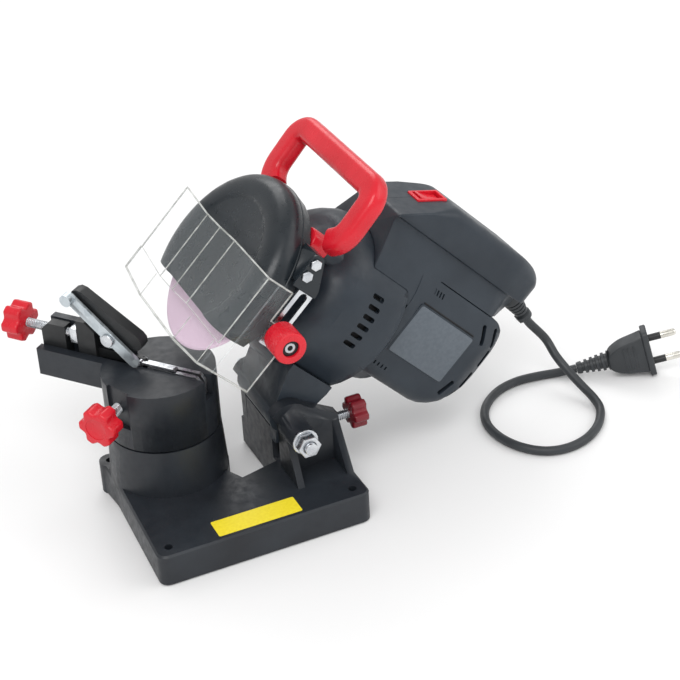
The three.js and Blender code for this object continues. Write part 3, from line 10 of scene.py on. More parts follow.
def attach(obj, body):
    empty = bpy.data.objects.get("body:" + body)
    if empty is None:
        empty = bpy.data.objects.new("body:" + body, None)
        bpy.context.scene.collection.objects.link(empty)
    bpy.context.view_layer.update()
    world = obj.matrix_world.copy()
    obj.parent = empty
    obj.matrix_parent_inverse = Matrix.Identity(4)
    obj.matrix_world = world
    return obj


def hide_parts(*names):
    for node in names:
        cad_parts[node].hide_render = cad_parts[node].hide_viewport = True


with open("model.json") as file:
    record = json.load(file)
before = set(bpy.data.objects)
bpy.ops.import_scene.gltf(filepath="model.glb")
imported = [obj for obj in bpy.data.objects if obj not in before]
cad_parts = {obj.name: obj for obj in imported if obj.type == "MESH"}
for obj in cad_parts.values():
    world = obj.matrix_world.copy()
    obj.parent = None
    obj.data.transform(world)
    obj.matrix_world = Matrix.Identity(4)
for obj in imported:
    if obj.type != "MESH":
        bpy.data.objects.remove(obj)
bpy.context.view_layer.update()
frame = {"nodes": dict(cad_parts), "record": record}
MM = 0.001

# Placing frames: pieces are drawn in millimetres, in the shared frame (BENCH), along the motor
# (HEAD) or along the vice's rail (VICE)
TURRET_AXIS = (-28, 30.5)
BENCH = Matrix.Scale(MM, 4)
HEAD = BENCH @ Matrix.Translation((38.5, 30.5, 57.5)) @ Matrix.Rotation(math.radians(45.7), 4, "Y")
VICE = BENCH @ Matrix.Translation((*TURRET_AXIS, 94.5)) @ Matrix.Rotation(math.radians(129), 4, "Z")

# Axes along the motor, as (across, up) in the head's frame
GEAR_AXIS, DISC_AXIS, MOTOR_AXIS, GUARD_AXIS = (0, 71), (0, 53), (0, 85), (0, 55.5)


# Camera at the photograph's angle
def set_camera():
    lens = bpy.data.cameras.new("photo_camera")
    lens.lens = 95.29
    lens.sensor_width = 36
    lens.clip_start, lens.clip_end = 0.05, 20
    camera = bpy.data.objects.new("photo_camera", lens)
    stand = Vector((-0.29372, -0.8705, 0.6846))
    right = Vector((0.90537915, -0.42194528, -0.04744229))
    down = Vector((-0.25937905, -0.46114606, -0.84856751))
    ahead = Vector((0.33617123, 0.78058087, -0.5269558))
    turn = Matrix((right, -down, -ahead)).transposed()
    camera.matrix_world = Matrix.Translation(stand) @ turn.to_4x4()
    bpy.context.scene.collection.objects.link(camera)
    bpy.context.scene.camera = camera


set_camera()


# Materials over Object coordinates, with the scale of a noise per metre and depths in metres
def material(name, colour, roughness, metallic=0.0):
    made = bpy.data.materials.new(name)
    made.use_nodes = True
    shader = made.node_tree.nodes["Principled BSDF"]
    shader.inputs["Base Color"].default_value = (*colour, 1)
    shader.inputs["Roughness"].default_value = roughness
    shader.inputs["Metallic"].default_value = metallic
    return made, made.node_tree.nodes, made.node_tree.links, shader


def noise(nodes, links, scale, detail=3.0, stretch=None):
    place = nodes.new("ShaderNodeTexCoord")
    pattern = nodes.new("ShaderNodeTexNoise")
    pattern.inputs["Scale"].default_value = scale
    pattern.inputs["Detail"].default_value = detail
    if stretch:
        mapping = nodes.new("ShaderNodeMapping")
        mapping.inputs["Scale"].default_value = stretch
        links.new(place.outputs["Object"], mapping.inputs["Vector"])
        links.new(mapping.outputs["Vector"], pattern.inputs["Vector"])
    else:
        links.new(place.outputs["Object"], pattern.inputs["Vector"])
    return pattern


def grey(value):
    return (value,) * 3


def graded(nodes, links, pattern, stops, socket, output="Fac"):
    """Runs a pattern through a colour ramp into a shader's socket."""
    steps = nodes.new("ShaderNodeValToRGB")
    steps.color_ramp.elements[0].position = stops[0][0]
    steps.color_ramp.elements[0].color = (*stops[0][1], 1)
    steps.color_ramp.elements[1].position = stops[-1][0]
    steps.color_ramp.elements[1].color = (*stops[-1][1], 1)
    for at, colour in stops[1:-1]:
        steps.color_ramp.elements.new(at).color = (*colour, 1)
    links.new(pattern.outputs[output], steps.inputs["Fac"])
    links.new(steps.outputs["Color"], socket)


def relief(nodes, links, shader, pattern, strength, depth, after=None):
    """Bumps a shader's normal, over another relief if there is one."""
    bump = nodes.new("ShaderNodeBump")
    bump.inputs["Strength"].default_value = strength
    bump.inputs["Distance"].default_value = depth
    links.new(pattern.outputs["Fac"], bump.inputs["Height"])
    if after:
        links.new(after.outputs["Normal"], bump.inputs["Normal"])
    links.new(bump.outputs["Normal"], shader.inputs["Normal"])
    return bump


def moulded(name, dark, light, roughness, grain=2400, depth=0.00006, strength=0.35, gloss=0.5):
    """Moulded plastic: cloudy colour, a spark-eroded grain and uneven sheen."""
    made, nodes, links, shader = material(name, light, roughness)
    shader.inputs["Specular IOR Level"].default_value = gloss
    graded(nodes, links, noise(nodes, links, 38, 4), [(0.3, dark), (0.7, light)],
           shader.inputs["Base Color"])
    low, high = grey(roughness - 0.08), grey(roughness + 0.08)
    graded(nodes, links, noise(nodes, links, 160), [(0.35, low), (0.7, high)],
           shader.inputs["Roughness"])
    relief(nodes, links, shader, noise(nodes, links, grain, 2), strength, depth)
    return made


def plated(name, dark, light, roughness, stretch=(1, 1, 1)):
    """Bright metal with fine tool marks and patches of duller plate."""
    made, nodes, links, shader = material(name, light, roughness, 1.0)
    graded(nodes, links, noise(nodes, links, 90, 4), [(0.32, dark), (0.68, light)],
           shader.inputs["Base Color"])
    marks = noise(nodes, links, 420, 4, stretch)
    low, high = grey(roughness - 0.08), grey(roughness + 0.14)
    graded(nodes, links, marks, [(0.3, low), (0.7, high)], shader.inputs["Roughness"])
    relief(nodes, links, shader, marks, 0.15, 0.00003)
    return made


def casting_paint():
    """Black powder coat over a sand-rough casting."""
    made, nodes, links, shader = material("powder_coated_casting", (0.016, 0.019, 0.024), 0.42)
    shader.inputs["Specular IOR Level"].default_value = 0.42
    graded(nodes, links, noise(nodes, links, 30, 5),
           [(0.3, (0.012, 0.014, 0.018)), (0.72, (0.021, 0.026, 0.033))],
           shader.inputs["Base Color"])
    graded(nodes, links, noise(nodes, links, 210), [(0.3, grey(0.34)), (0.75, grey(0.52))],
           shader.inputs["Roughness"])
    swell = relief(nodes, links, shader, noise(nodes, links, 260), 0.25, 0.00012)
    relief(nodes, links, shader, noise(nodes, links, 1500, 2), 0.4, 0.00007, after=swell)
    return made


def galvanised_strip():
    """Hot-dipped strip with its crystal flowers."""
    made, nodes, links, shader = material("galvanised_strip", (0.46, 0.51, 0.54), 0.42, 0.8)
    place = nodes.new("ShaderNodeTexCoord")
    flowers = nodes.new("ShaderNodeTexVoronoi")
    flowers.inputs["Scale"].default_value = 260
    links.new(place.outputs["Object"], flowers.inputs["Vector"])
    graded(nodes, links, flowers, [(0.0, (0.42, 0.47, 0.50)), (1.0, (0.62, 0.67, 0.70))],
           shader.inputs["Base Color"], "Color")
    graded(nodes, links, flowers, [(0.0, grey(0.28)), (1.0, grey(0.5))],
           shader.inputs["Roughness"], "Color")
    relief(nodes, links, shader, noise(nodes, links, 700), 0.15, 0.00004)
    return made


def abrasive_grain():
    """Vitrified lilac abrasive: pale and dark grains with open pores."""
    made, nodes, links, shader = material("lilac_abrasive", (0.72, 0.50, 0.64), 0.9)
    grains = noise(nodes, links, 2600, 2)
    graded(nodes, links, grains, [(0.30, (0.50, 0.32, 0.44)), (0.46, (0.70, 0.50, 0.64)),
                                  (0.72, (0.86, 0.74, 0.83))], shader.inputs["Base Color"])
    relief(nodes, links, shader, grains, 0.6, 0.00018)
    return made


def clear_sheet():
    """Clear polycarbonate: see-through square on, denser towards its edges."""
    made, nodes, links, shader = material("clear_sheet", (0.78, 0.84, 0.86), 0.08)
    facing = nodes.new("ShaderNodeLayerWeight")
    facing.inputs["Blend"].default_value = 0.35
    graded(nodes, links, facing, [(0.0, grey(0.025)), (0.7, grey(0.06)), (1.0, grey(0.45))],
           shader.inputs["Alpha"], "Facing")
    scuffs = noise(nodes, links, 300, 4, (1, 6, 1))
    graded(nodes, links, scuffs, [(0.45, grey(0.05)), (0.8, grey(0.2))],
           shader.inputs["Roughness"])
    shader.inputs["IOR"].default_value = 1.58
    return made


def sheet_edge():
    """Cut and folded edges of the clear sheet, which gather the light."""
    made, nodes, links, shader = material("sheet_edge", (0.60, 0.61, 0.58), 0.25)
    shader.inputs["Alpha"].default_value = 0.6
    graded(nodes, links, noise(nodes, links, 120, 3, (1, 1, 2)),
           [(0.35, (0.42, 0.43, 0.40)), (0.7, (0.80, 0.81, 0.78))], shader.inputs["Base Color"])
    return made


def printed_plate(name, colour, edge, sheen):
    """Bare printed foil or paper with a faint mottle."""
    made, nodes, links, shader = material(name, colour, sheen)
    graded(nodes, links, noise(nodes, links, 500), [(0.3, edge), (0.65, colour)],
           shader.inputs["Base Color"])
    relief(nodes, links, shader, noise(nodes, links, 1400, 2), 0.1, 0.00002)
    return made


slate = moulded("slate_moulding", (0.018, 0.025, 0.034), (0.026, 0.035, 0.046), 0.42, gloss=0.36)
guard_black = moulded("guard_moulding", (0.010, 0.014, 0.018), (0.015, 0.020, 0.025), 0.32,
                      depth=0.00003, strength=0.2, gloss=0.4)
black = moulded("black_moulding", (0.010, 0.011, 0.012), (0.018, 0.019, 0.020), 0.44, gloss=0.4)
red = moulded("bright_red_moulding", (0.55, 0.007, 0.017), (0.69, 0.013, 0.028), 0.28,
              grain=1800, depth=0.00003, strength=0.2, gloss=0.42)
dark_red = moulded("dark_red_moulding", (0.14, 0.005, 0.012), (0.21, 0.009, 0.018), 0.32,
                   grain=1800, depth=0.00003, strength=0.2)
rubber = moulded("cord_jacket", (0.020, 0.023, 0.026), (0.034, 0.039, 0.044), 0.5,
                 grain=1500, depth=0.00004, strength=0.25)
gear_nylon = moulded("gear_nylon", (0.56, 0.52, 0.40), (0.68, 0.64, 0.50), 0.45)
zinc = plated("bright_zinc", (0.50, 0.52, 0.55), (0.74, 0.76, 0.78), 0.26)
steel = plated("ground_steel", (0.42, 0.43, 0.45), (0.60, 0.61, 0.63), 0.3, (1, 1, 14))
brass = plated("plain_brass", (0.55, 0.40, 0.16), (0.72, 0.55, 0.24), 0.28)
copper = plated("wound_copper", (0.36, 0.15, 0.06), (0.60, 0.28, 0.12), 0.38, (1, 30, 1))
nickelled = plated("nickelled_pin", (0.60, 0.58, 0.52), (0.78, 0.76, 0.70), 0.24)
cast = casting_paint()
galvanised = galvanised_strip()
abrasive = abrasive_grain()
clear = clear_sheet()
clear_rim = sheet_edge()
plate_grey = printed_plate("bare_nameplate", (0.100, 0.120, 0.142), (0.082, 0.100, 0.120), 0.36)
label_yellow = printed_plate("bare_label", (0.92, 0.76, 0.03), (0.86, 0.69, 0.02), 0.42)
paper = printed_plate("disc_paper", (0.80, 0.79, 0.76), (0.72, 0.71, 0.68), 0.8)
shadow_black = moulded("vent_shadow", (0.004, 0.004, 0.005), (0.007, 0.007, 0.008), 0.7)


# Shapes, in millimetres
def outline_points(axis, points, at):
    if axis == "X":
        return [Vector((at, a, b)) for a, b in points]
    if axis == "Y":
        return [Vector((a, at, b)) for a, b in points]
    return [Vector((a, b, at)) for a, b in points]


def pushed(axis, points, start, end):
    """An outline pushed along an axis."""
    form = bmesh.new()
    face = form.faces.new([form.verts.new(p) for p in outline_points(axis, points, start)])
    grown = bmesh.ops.extrude_face_region(form, geom=[face])
    step = outline_points(axis, [(0, 0)], end - start)[0]
    moved = [v for v in grown["geom"] if isinstance(v, bmesh.types.BMVert)]
    bmesh.ops.translate(form, verts=moved, vec=step)
    bmesh.ops.recalc_face_normals(form, faces=form.faces)
    return form


def rectangle(a0, a1, b0, b1):
    return [(a0, b0), (a1, b0), (a1, b1), (a0, b1)]


def box_form(x0, x1, y0, y1, z0, z1):
    return pushed("Z", rectangle(x0, x1, y0, y1), z0, z1)


def beside_axis(axis, profile, centre):
    """A profile of (along, radius) in space, with a point and the direction of its axis."""
    a, b = centre
    if axis == "X":
        return [(p, a, b + r) for p, r in profile], (0, a, b), Vector((1, 0, 0))
    if axis == "Y":
        return [(a, p, b + r) for p, r in profile], (a, 0, b), Vector((0, 1, 0))
    return [(a + r, b, p) for p, r in profile], (a, b, 0), Vector((0, 0, 1))


def turned(profile, axis, centre, steps, closed=False):
    """A profile of (along, radius) spun about an axis."""
    form = bmesh.new()
    points, middle, line = beside_axis(axis, profile, centre)
    verts = [form.verts.new(p) for p in points]
    pairs = list(zip(verts, verts[1:])) + ([(verts[-1], verts[0])] if closed else [])
    edges = [form.edges.new(pair) for pair in pairs]
    bmesh.ops.spin(form, geom=verts + edges, cent=middle, axis=line, angle=2 * math.pi,
                   steps=steps, use_merge=True)
    bmesh.ops.remove_doubles(form, verts=form.verts, dist=1e-4)
    bmesh.ops.recalc_face_normals(form, faces=form.faces)
    return form


def rod(axis, radius, start, end, centre, steps):
    return turned([(start, 0), (start, radius), (end, radius), (end, 0)], axis, centre, steps)


def hoop(axis, inner, outer, start, end, centre, steps):
    """A square-edged ring about an axis."""
    return turned([(start, inner), (start, outer), (end, outer), (end, inner)], axis, centre,
                  steps, closed=True)


def sharp_edges(form, above):
    """Edges between two faces that turn by more than an angle, in degrees."""
    return [e for e in form.edges if len(e.link_faces) == 2
            and e.calc_face_angle(0) > math.radians(above)]


def softened(form, width, segments=3, above=30.0, where=None):
    """Bevels the sharp edges, or those of them whose middle is in the right place."""
    chosen = [e for e in sharp_edges(form, above)
              if where is None or where((e.verts[0].co + e.verts[1].co) / 2)]
    if chosen:
        bmesh.ops.bevel(form, geom=chosen, offset=width, offset_type="OFFSET", segments=segments,
                        profile=0.5, affect="EDGES", clamp_overlap=True, material=-1)
    return form


def combined(kind, form, *tools):
    """Joins, cuts or crosses forms, and gives back one form."""
    for tool in tools:
        pair = []
        for shape in (form, tool):
            data = bpy.data.meshes.new("working")
            shape.to_mesh(data)
            shape.free()
            pair.append(bpy.data.objects.new("working", data))
            bpy.context.scene.collection.objects.link(pair[-1])
        step = pair[0].modifiers.new("step", "BOOLEAN")
        step.operation, step.object, step.solver = kind, pair[1], "EXACT"
        bpy.context.view_layer.update()
        result = pair[0].evaluated_get(bpy.context.evaluated_depsgraph_get())
        form = bmesh.new()
        form.from_mesh(result.to_mesh())
        result.to_mesh_clear()
        for thing in pair:
            data = thing.data
            bpy.data.objects.remove(thing)
            bpy.data.meshes.remove(data)
    return form


def merged(*forms):
    """Several closed forms as one mesh, without cutting."""
    whole = bmesh.new()
    for shape in forms:
        data = bpy.data.meshes.new("working")
        shape.to_mesh(data)
        shape.free()
        whole.from_mesh(data)
        bpy.data.meshes.remove(data)
    return whole


def lofted(rings):
    """A closed skin through rings of points, with flat ends."""
    form = bmesh.new()
    loops = []
    for ring in rings:
        verts = [form.verts.new(p) for p in ring]
        loops.append([form.edges.new(pair) for pair in zip(verts, verts[1:] + verts[:1])])
    for here, ahead in zip(loops, loops[1:]):
        bmesh.ops.bridge_loops(form, edges=here + ahead)
    for end in (loops[0], loops[-1]):
        bmesh.ops.edgeloop_fill(form, edges=end)
    bmesh.ops.recalc_face_normals(form, faces=form.faces)
    return form


def between(table, at):
    """A value read from a table of stations."""
    for (a, low), (b, high) in zip(table, table[1:]):
        if at <= b:
            return low + (high - low) * max(0.0, (at - a) / (b - a))
    return table[-1][1]


def rounded(points, radius, steps):
    """Rounds an outline's corners, each within its share of the shorter side."""
    share = 0.47
    result = []
    for i, corner in enumerate(points):
        here = Vector(corner)
        back = Vector(points[i - 1]) - here
        ahead = Vector(points[(i + 1) % len(points)]) - here
        reach = min(radius, back.length * share, ahead.length * share)
        start, end = here + back.normalized() * reach, here + ahead.normalized() * reach
        for k in range(steps + 1):
            t = k / steps
            result.append(tuple(start * (1 - t) ** 2 + here * 2 * t * (1 - t) + end * t * t))
    return result


def lobed(radius, depth, centre, count=6, steps=120):
    """A round outline with broad lobes and narrow hollows between them."""
    flat, fall = 0.45, 0.725
    points = []
    for i in range(steps):
        angle = 2 * math.pi * i / steps
        wave = math.cos(count * angle)
        reach = radius - depth / 2 + depth / 2 * (1 if wave > flat else (wave + 1) / fall - 1)
        points.append((centre[0] + reach * math.cos(angle), centre[1] + reach * math.sin(angle)))
    return points


def thread(axis, radius, start, end, centre, pitch):
    """A helical ridge for a screw, its root sunk in the core."""
    height, sunk, turn_steps = 0.45, 0.15, 20
    rise, crest, fall = pitch * 0.42, pitch * 0.56, pitch * 0.96
    inner = radius - height - sunk
    corners = [(start, inner), (start + rise, radius), (start + crest, radius),
               (start + fall, inner)]
    form = bmesh.new()
    points, middle, line = beside_axis(axis, corners, centre)
    verts = [form.verts.new(p) for p in points]
    edges = list(form.faces.new(verts).edges)
    steps = int((end - start) / pitch * turn_steps)
    made = bmesh.ops.spin(form, geom=verts + edges, cent=middle, axis=line,
                          dvec=line * (pitch / turn_steps),
                          angle=math.radians(360 / turn_steps) * steps, steps=steps)
    last = [e for e in made["geom_last"] if isinstance(e, bmesh.types.BMEdge)]
    bmesh.ops.edgeloop_fill(form, edges=last)
    bmesh.ops.recalc_face_normals(form, faces=form.faces)
    return form


def screw_form(axis, radius, start, end, centre, pitch):
    """A rod with chamfered tips and a helical thread between them."""
    core, taper, tip = radius - 0.5, 0.4, 0.5
    stem = turned([(start, 0), (start, core - taper), (start + tip, core), (end - tip, core),
                   (end, core - taper), (end, 0)], axis, centre, 32)
    thread_start, thread_end = start + 0.2, end - pitch - 0.4
    return merged(stem, thread(axis, radius, thread_start, thread_end, centre, pitch))


def welded(node):
    """A copy of a CAD node's mesh with its loose triangles joined, in millimetres."""
    form = bmesh.new()
    form.from_mesh(frame["nodes"][node].data)
    bmesh.ops.scale(form, vec=(1000, 1000, 1000), verts=form.verts)
    bmesh.ops.remove_doubles(form, verts=form.verts, dist=2e-3)
    bmesh.ops.dissolve_degenerate(form, dist=1e-3, edges=form.edges)
    bmesh.ops.dissolve_limit(form, angle_limit=math.radians(0.8), verts=form.verts,
                             edges=form.edges, delimit={"NORMAL"})
    return form


def piece(name, form, place, body, finish, replaced, smooth=34.0):
    """Makes a form an object at the origin, riding on a body."""
    bmesh.ops.transform(form, matrix=place, verts=form.verts)
    data = bpy.data.meshes.new(name)
    form.to_mesh(data)
    form.free()
    data.materials.append(finish)
    data.shade_smooth()
    data.set_sharp_from_angle(angle=math.radians(smooth))
    made = bpy.data.objects.new(name, data)
    bpy.context.scene.collection.objects.link(made)
    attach(made, body)
    if replaced:
        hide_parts(*replaced)
    return made


def node_body(node):
    for body, members in frame["record"]["behaviour"]["bodies"].items():
        if node in members:
            return body


def eased(node, width=0.35, finish=None, cutter=None):
    """A CAD node's own form, its edges broken where none is too short, and cut if need be."""
    above, room = 38.0, 2.2 * width
    form = welded(node)
    lengths = [e.calc_length() for e in sharp_edges(form, above)]
    if lengths and min(lengths) > room:
        softened(form, width, 2, above)
    if cutter:
        form = combined("DIFFERENCE", form, cutter)
    slot = slots[node]
    return piece(node + "_form", form, BENCH, node_body(node), finish or finishes[slot], (node,))


finishes = {"cast": cast, "housing": slate, "black": black, "red": red, "dark_red": dark_red,
            "zinc": zinc, "galvanised": galvanised, "steel": steel, "copper": copper,
            "brass": brass, "gear": gear_nylon, "disc": abrasive, "rubber": rubber,
            "clear": clear}
slots = {part["node"]: part["material_slot"] for part in frame["record"]["subparts"]}
for node, thing in frame["nodes"].items():
    thing.data.materials.clear()
    thing.data.materials.append(finishes[slots[node]])


# Cord: its route as it lies on the bench, the strain relief at its head, the plug on its end
CORD_ROUTE = [
    (245.4, 27.6, 32.5), (247.6, 17.6, 24), (251.2, 7.7, 16.5), (255, -3.6, 10), (257.4, -14.4, 6),
    (256.4, -25, 4.1), (251, -34.4, 3.4), (242.4, -43.4, 3.2), (228.6, -51.4, 3.2),
    (213.3, -53.8, 3.2), (199.7, -49.8, 3.2), (188.3, -38.4, 3.2), (181.9, -22.4, 3.2),
    (181.7, -5.6, 3.2), (187.2, 8.2, 3.2), (196.3, 18.6, 3.2), (209.4, 26.8, 3.2),
    (224.7, 30.4, 3.2), (240, 29.2, 3.2), (252.5, 26.4, 3.4), (261, 23.2, 4.6)]
CORD_RADIUS = 3
PLUG_LINE = Vector((0.88, -0.41, 0.25)).normalized()
RELIEF_SEAT = Matrix.Translation((111.2, 0, 140.7)) @ Matrix.Rotation(math.radians(13.5), 4, "Y")
RELIEF = HEAD @ RELIEF_SEAT


def centripetal(points, per_span):
    """A smooth line through points, as the route was drawn."""
    line = []
    ends = [points[0] * 2 - points[1], *points, points[-1] * 2 - points[-2]]
    for p0, p1, p2, p3 in zip(ends, ends[1:], ends[2:], ends[3:]):
        t0 = 0.0
        t1 = t0 + max((p1 - p0).length, 1e-4) ** 0.5
        t2 = t1 + (p2 - p1).length ** 0.5
        t3 = t2 + max((p3 - p2).length, 1e-4) ** 0.5
        for k in range(per_span):
            t = t1 + (t2 - t1) * k / per_span
            a1 = p0 * ((t1 - t) / (t1 - t0)) + p1 * ((t - t0) / (t1 - t0))
            a2 = p1 * ((t2 - t) / (t2 - t1)) + p2 * ((t - t1) / (t2 - t1))
            a3 = p2 * ((t3 - t) / (t3 - t2)) + p3 * ((t - t2) / (t3 - t2))
            b1 = a1 * ((t2 - t) / (t2 - t0)) + a2 * ((t - t0) / (t2 - t0))
            b2 = a2 * ((t3 - t) / (t3 - t1)) + a3 * ((t - t1) / (t3 - t1))
            line.append(b1 * ((t2 - t) / (t2 - t1)) + b2 * ((t - t1) / (t2 - t1)))
    return line + [points[-1].copy()]


def make_cord():
    """The cord as a round curve, with its exit point, its length and its far end."""
    relief_end, straight = 27.3, 6
    start = RELIEF @ Vector((relief_end, 0, 0))
    second = RELIEF @ Vector((relief_end + straight, 0, 0))
    route = [start, second] + [Vector(p) * MM for p in CORD_ROUTE]
    route.append(route[-1] + PLUG_LINE * 2 * CORD_RADIUS * MM)
    line = centripetal(route, 8)
    curve = bpy.data.curves.new("mains_cord", "CURVE")
    curve.dimensions = "3D"
    curve.bevel_depth = CORD_RADIUS * MM
    curve.bevel_resolution = 6
    curve.use_fill_caps = True
    spline = curve.splines.new("POLY")
    spline.points.add(len(line) - 1)
    for point, place in zip(spline.points, line):
        point.co = (*place, 1)
    curve.materials.append(rubber)
    made = bpy.data.objects.new("mains_cord", curve)
    bpy.context.scene.collection.objects.link(made)
    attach(made, "head")
    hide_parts("cord")
    length = sum((b - a).length for a, b in zip(line, line[1:]))
    return made, start, length, route[-1]


mains_cord, cord_exit, cord_length, cord_end = make_cord()


def plug_place():
    """Frame of the plug: X along its pins, Z up its face."""
    side = Vector((0, 0, 1)).cross(PLUG_LINE).normalized()
    lift = PLUG_LINE.cross(side).normalized()
    turn = Matrix((PLUG_LINE, side, lift)).transposed()
    start = cord_end + PLUG_LINE * 0.3 * MM
    return Matrix.Translation(start) @ turn.to_4x4() @ BENCH


def make_plug():
    """Flat two-pin plug with a ribbed sleeve, a waisted body and grip ridges."""
    place = plug_place()
    rib_pitch, rib_growth, groove = 4.0, 0.5, 1.1
    ribs = [(0, 0), (0, 3.9)]
    for i in range(5):
        at, outer = 1.6 + rib_pitch * i, 4.3 + rib_growth * i
        ribs += [(at, outer), (at + 1.9, outer), (at + 2.1, outer - groove),
                 (at + 3.7, outer - groove), (at + 3.9, outer)]
    ribs += [(22.3, 7.4), (22.3, 0)]
    sleeve = turned(ribs, "X", (0, 0), 40)
    flank = [(21.5, -5.4), (30.7, -11.2), (44, -13.6), (48.3, -14.7)]
    waist = rounded(flank + [(x, -y) for x, y in reversed(flank)], 6, 6)
    trunk = softened(pushed("Y", waist, -6, 6), 2.4, 4)
    grips = [softened(box_form(33 + at, 34.6 + at, -6.5, 6.5, -9.5, 9.5), 0.5, 2)
             for at in (3.4 * i for i in range(3))]
    face = rounded(rectangle(-7.5, 7.5, -18, 18), 4.5, 8)
    flange = softened(pushed("X", face, 47.8, 52), 0.9, 3)
    body = merged(sleeve, trunk, *grips, flange)
    made = [piece("mains_plug", body, place, "head", rubber, ("plug",))]
    for name, height in (("lower", -9.5), ("upper", 9.5)):
        pin = turned([(44.3, 0), (44.3, 2.4), (69.4, 2.4), (70.4, 2.0), (71, 1.2), (71, 0)], "X",
                     (0, height), 32)
        collar = turned([(52.05, 2.42), (60.5, 2.42), (60.5, 2.3), (52.05, 2.3)], "X",
                        (0, height), 32, closed=True)
        made.append(piece("contact_" + name, pin, place, "head", nickelled,
                          ("plug_pin_" + name,)))
        made.append(piece("contact_sleeve_" + name, collar, place, "head", black, ()))
    return made


plug_pieces = make_plug()


def make_strain_relief():
    """Tapered sleeve with bend slots and a clip at its end."""
    slot_pitch, taper = 3.3, 0.62
    profile = [(0.3, 0), (0.3, 8.5), (4, 8.5), (4.6, 7.6)]
    for i in range(5):
        at, outer = 5.2 + slot_pitch * i, 7.5 - taper * i
        profile += [(at, outer), (at + 2.2, outer - 0.25), (at + 2.3, outer - 1.3),
                    (at + 3.2, outer - 1.4)]
    profile += [(22.2, 4.6), (22.7, 5.4), (26.4, 5.4), (27, 4.8), (27, 0)]
    sleeve = turned(profile, "X", (0, 0), 40)
    clip = softened(box_form(22.4, 26.6, -3.2, 3.2, -5.35, -4.2), 0.5, 2)
    piece("relief_sleeve", merged(sleeve, clip), RELIEF, "head", rubber, ("strain_relief",))


make_strain_relief()


# Grinding head, as (along, radius) or (along, across, up) in its frame
DRUM_SHOULDER = [(14.6, 52.2), (16.2, 51.2), (18, 49.2), (20, 46.2), (22, 43.4), (25, 40.4),
                 (28, 38.4), (32, 36.8), (36, 35.6), (41, 34.6)]
SEAM = 0.15  # from the middle to the edge of each housing half


def shoulder(gap):
    """The rounded shoulder between the drum and the motor, a gap outside its skin."""
    return [(along, radius + gap) for along, radius in DRUM_SHOULDER]


def drum_vents():
    """Cutters for the row of six short vents."""
    pitch = 6.5
    return merged(*[softened(box_form(-12.2, -2.8, -60, -43, 61 + up, 64.1 + up), 1.2, 3, 30)
                    for up in (pitch * i for i in range(6))])


def make_gear_drum():
    """Smooth skin of the gear drum with its six vents, and the CAD drum cut back inside it."""
    start, long, radius, wall = -48, 96, 52.55, 2.6
    rim = [(0, .56), (.015, .585), (.031, .62), (.05, .70), (.073, .79), (.11, .87), (.156, .93),
           (.22, .985), (.344, 1), (.56, 1.0)]
    outer = [(start + long * along, radius * share) for along, share in rim]
    outer += [(12, 52.5), *DRUM_SHOULDER]
    inner = [(p, r - wall) for p, r in reversed(outer)]
    skin = turned(outer + inner, "X", GEAR_AXIS, 120, closed=True)
    skin = combined("DIFFERENCE", skin, drum_vents())
    piece("gear_drum", skin, HEAD, "head", slate, (), 30)
    shade = hoop("X", 46.8, 48.2, -14.5, -0.5, GEAR_AXIS, 96)
    piece("vent_shade", shade, HEAD, "head", shadow_black, ())
    outside = turned([(15.3, 50.6), *shoulder(-1.4)[1:-1], (50, 33.2), (50, 80), (15.3, 80)], "X",
                     GEAR_AXIS, 96, closed=True)
    cutters = merged(outside, drum_vents())
    bmesh.ops.transform(cutters, matrix=BENCH.inverted() @ HEAD, verts=cutters.verts)
    eased("gear_housing", 0.4, cutter=cutters)


make_gear_drum()


# Stations along the motor: its lowest and highest lines, how far its plan narrows, and its
# flanks by height
BELLY = [(20, 49.2), (74, 49.2), (80, 50.2), (86, 52.8), (92, 56.8), (98, 62.4), (103, 68.4),
         (107, 74.6), (110, 80.6), (112.5, 86.8), (114.2, 92.4)]
BACK = [(20, 123.7), (94, 123.7), (99, 122.4), (103, 120.2), (107, 116.6), (110, 112.4),
        (112.5, 107.2), (114.2, 101.8)]
PLAN = [(20, 1), (86, 1), (92, 0.98), (98, 0.92), (103, 0.84), (107, 0.745), (110, 0.65),
        (112.5, 0.53), (114.2, 0.41)]
CHEEK = [(90, 39), (100, 39), (105, 38.6), (110, 37.4), (115, 35.2), (119, 33.4), (122.4, 31.4),
         (137.6, 24.0), (139.6, 23.4), (140.6, 23.7), (141.4, 25.2), (143, 26), (170, 26)]
MOTOR_FLANK, BLOCK_FLANK = 39, 26


def squeezed(levels, low, high):
    """Levels held between two heights, in order and never quite together."""
    step = 0.02
    return [min(max(level, low + step * (i + 1)), high - step * (len(levels) - i))
            for i, level in enumerate(levels)]


def whole_ring(x, half, inset, share):
    """A ring at a station from one half of it, drawn in and narrowed."""
    half = [((y - inset) * share, z) for y, z in half]
    return [(x, y, z) for y, z in half] + [(x, -y, z) for y, z in reversed(half)]


def motor_ring(x, inset):
    """Section of the motor housing at a station along the motor."""
    at = x + inset
    low, high = between(BELLY, at) + inset, between(BACK, at) - inset
    corner = min(10.0, (high - low) * 0.45)
    corner_steps, chamfer = 6, 1.2
    half = []
    for i in range(corner_steps + 1):
        turn = math.radians(90 * i / corner_steps)
        half.append((MOTOR_FLANK - corner + corner * math.sin(turn),
                     low + corner - corner * math.cos(turn)))
    edge = high - chamfer
    half += [(between(CHEEK, z), z)
             for z in squeezed((70, 85, 96, 105, 110, 115, 119, 121), low + corner, edge)]
    top = between(CHEEK, edge)
    half += [(top, edge), (top - 0.4, high - 0.35), (top - 1.4, high)]
    return whole_ring(x, half, inset, between(PLAN, at))


def motor_form(inset, stations):
    return lofted([motor_ring(x, inset) for x in stations])


def half_block(side, start):
    """A block over all that is on one side of the seam, from a station on."""
    low, high = (-60, -SEAM) if side == "near" else (SEAM, 60)
    return box_form(start, 200, low, high, 0, 200)


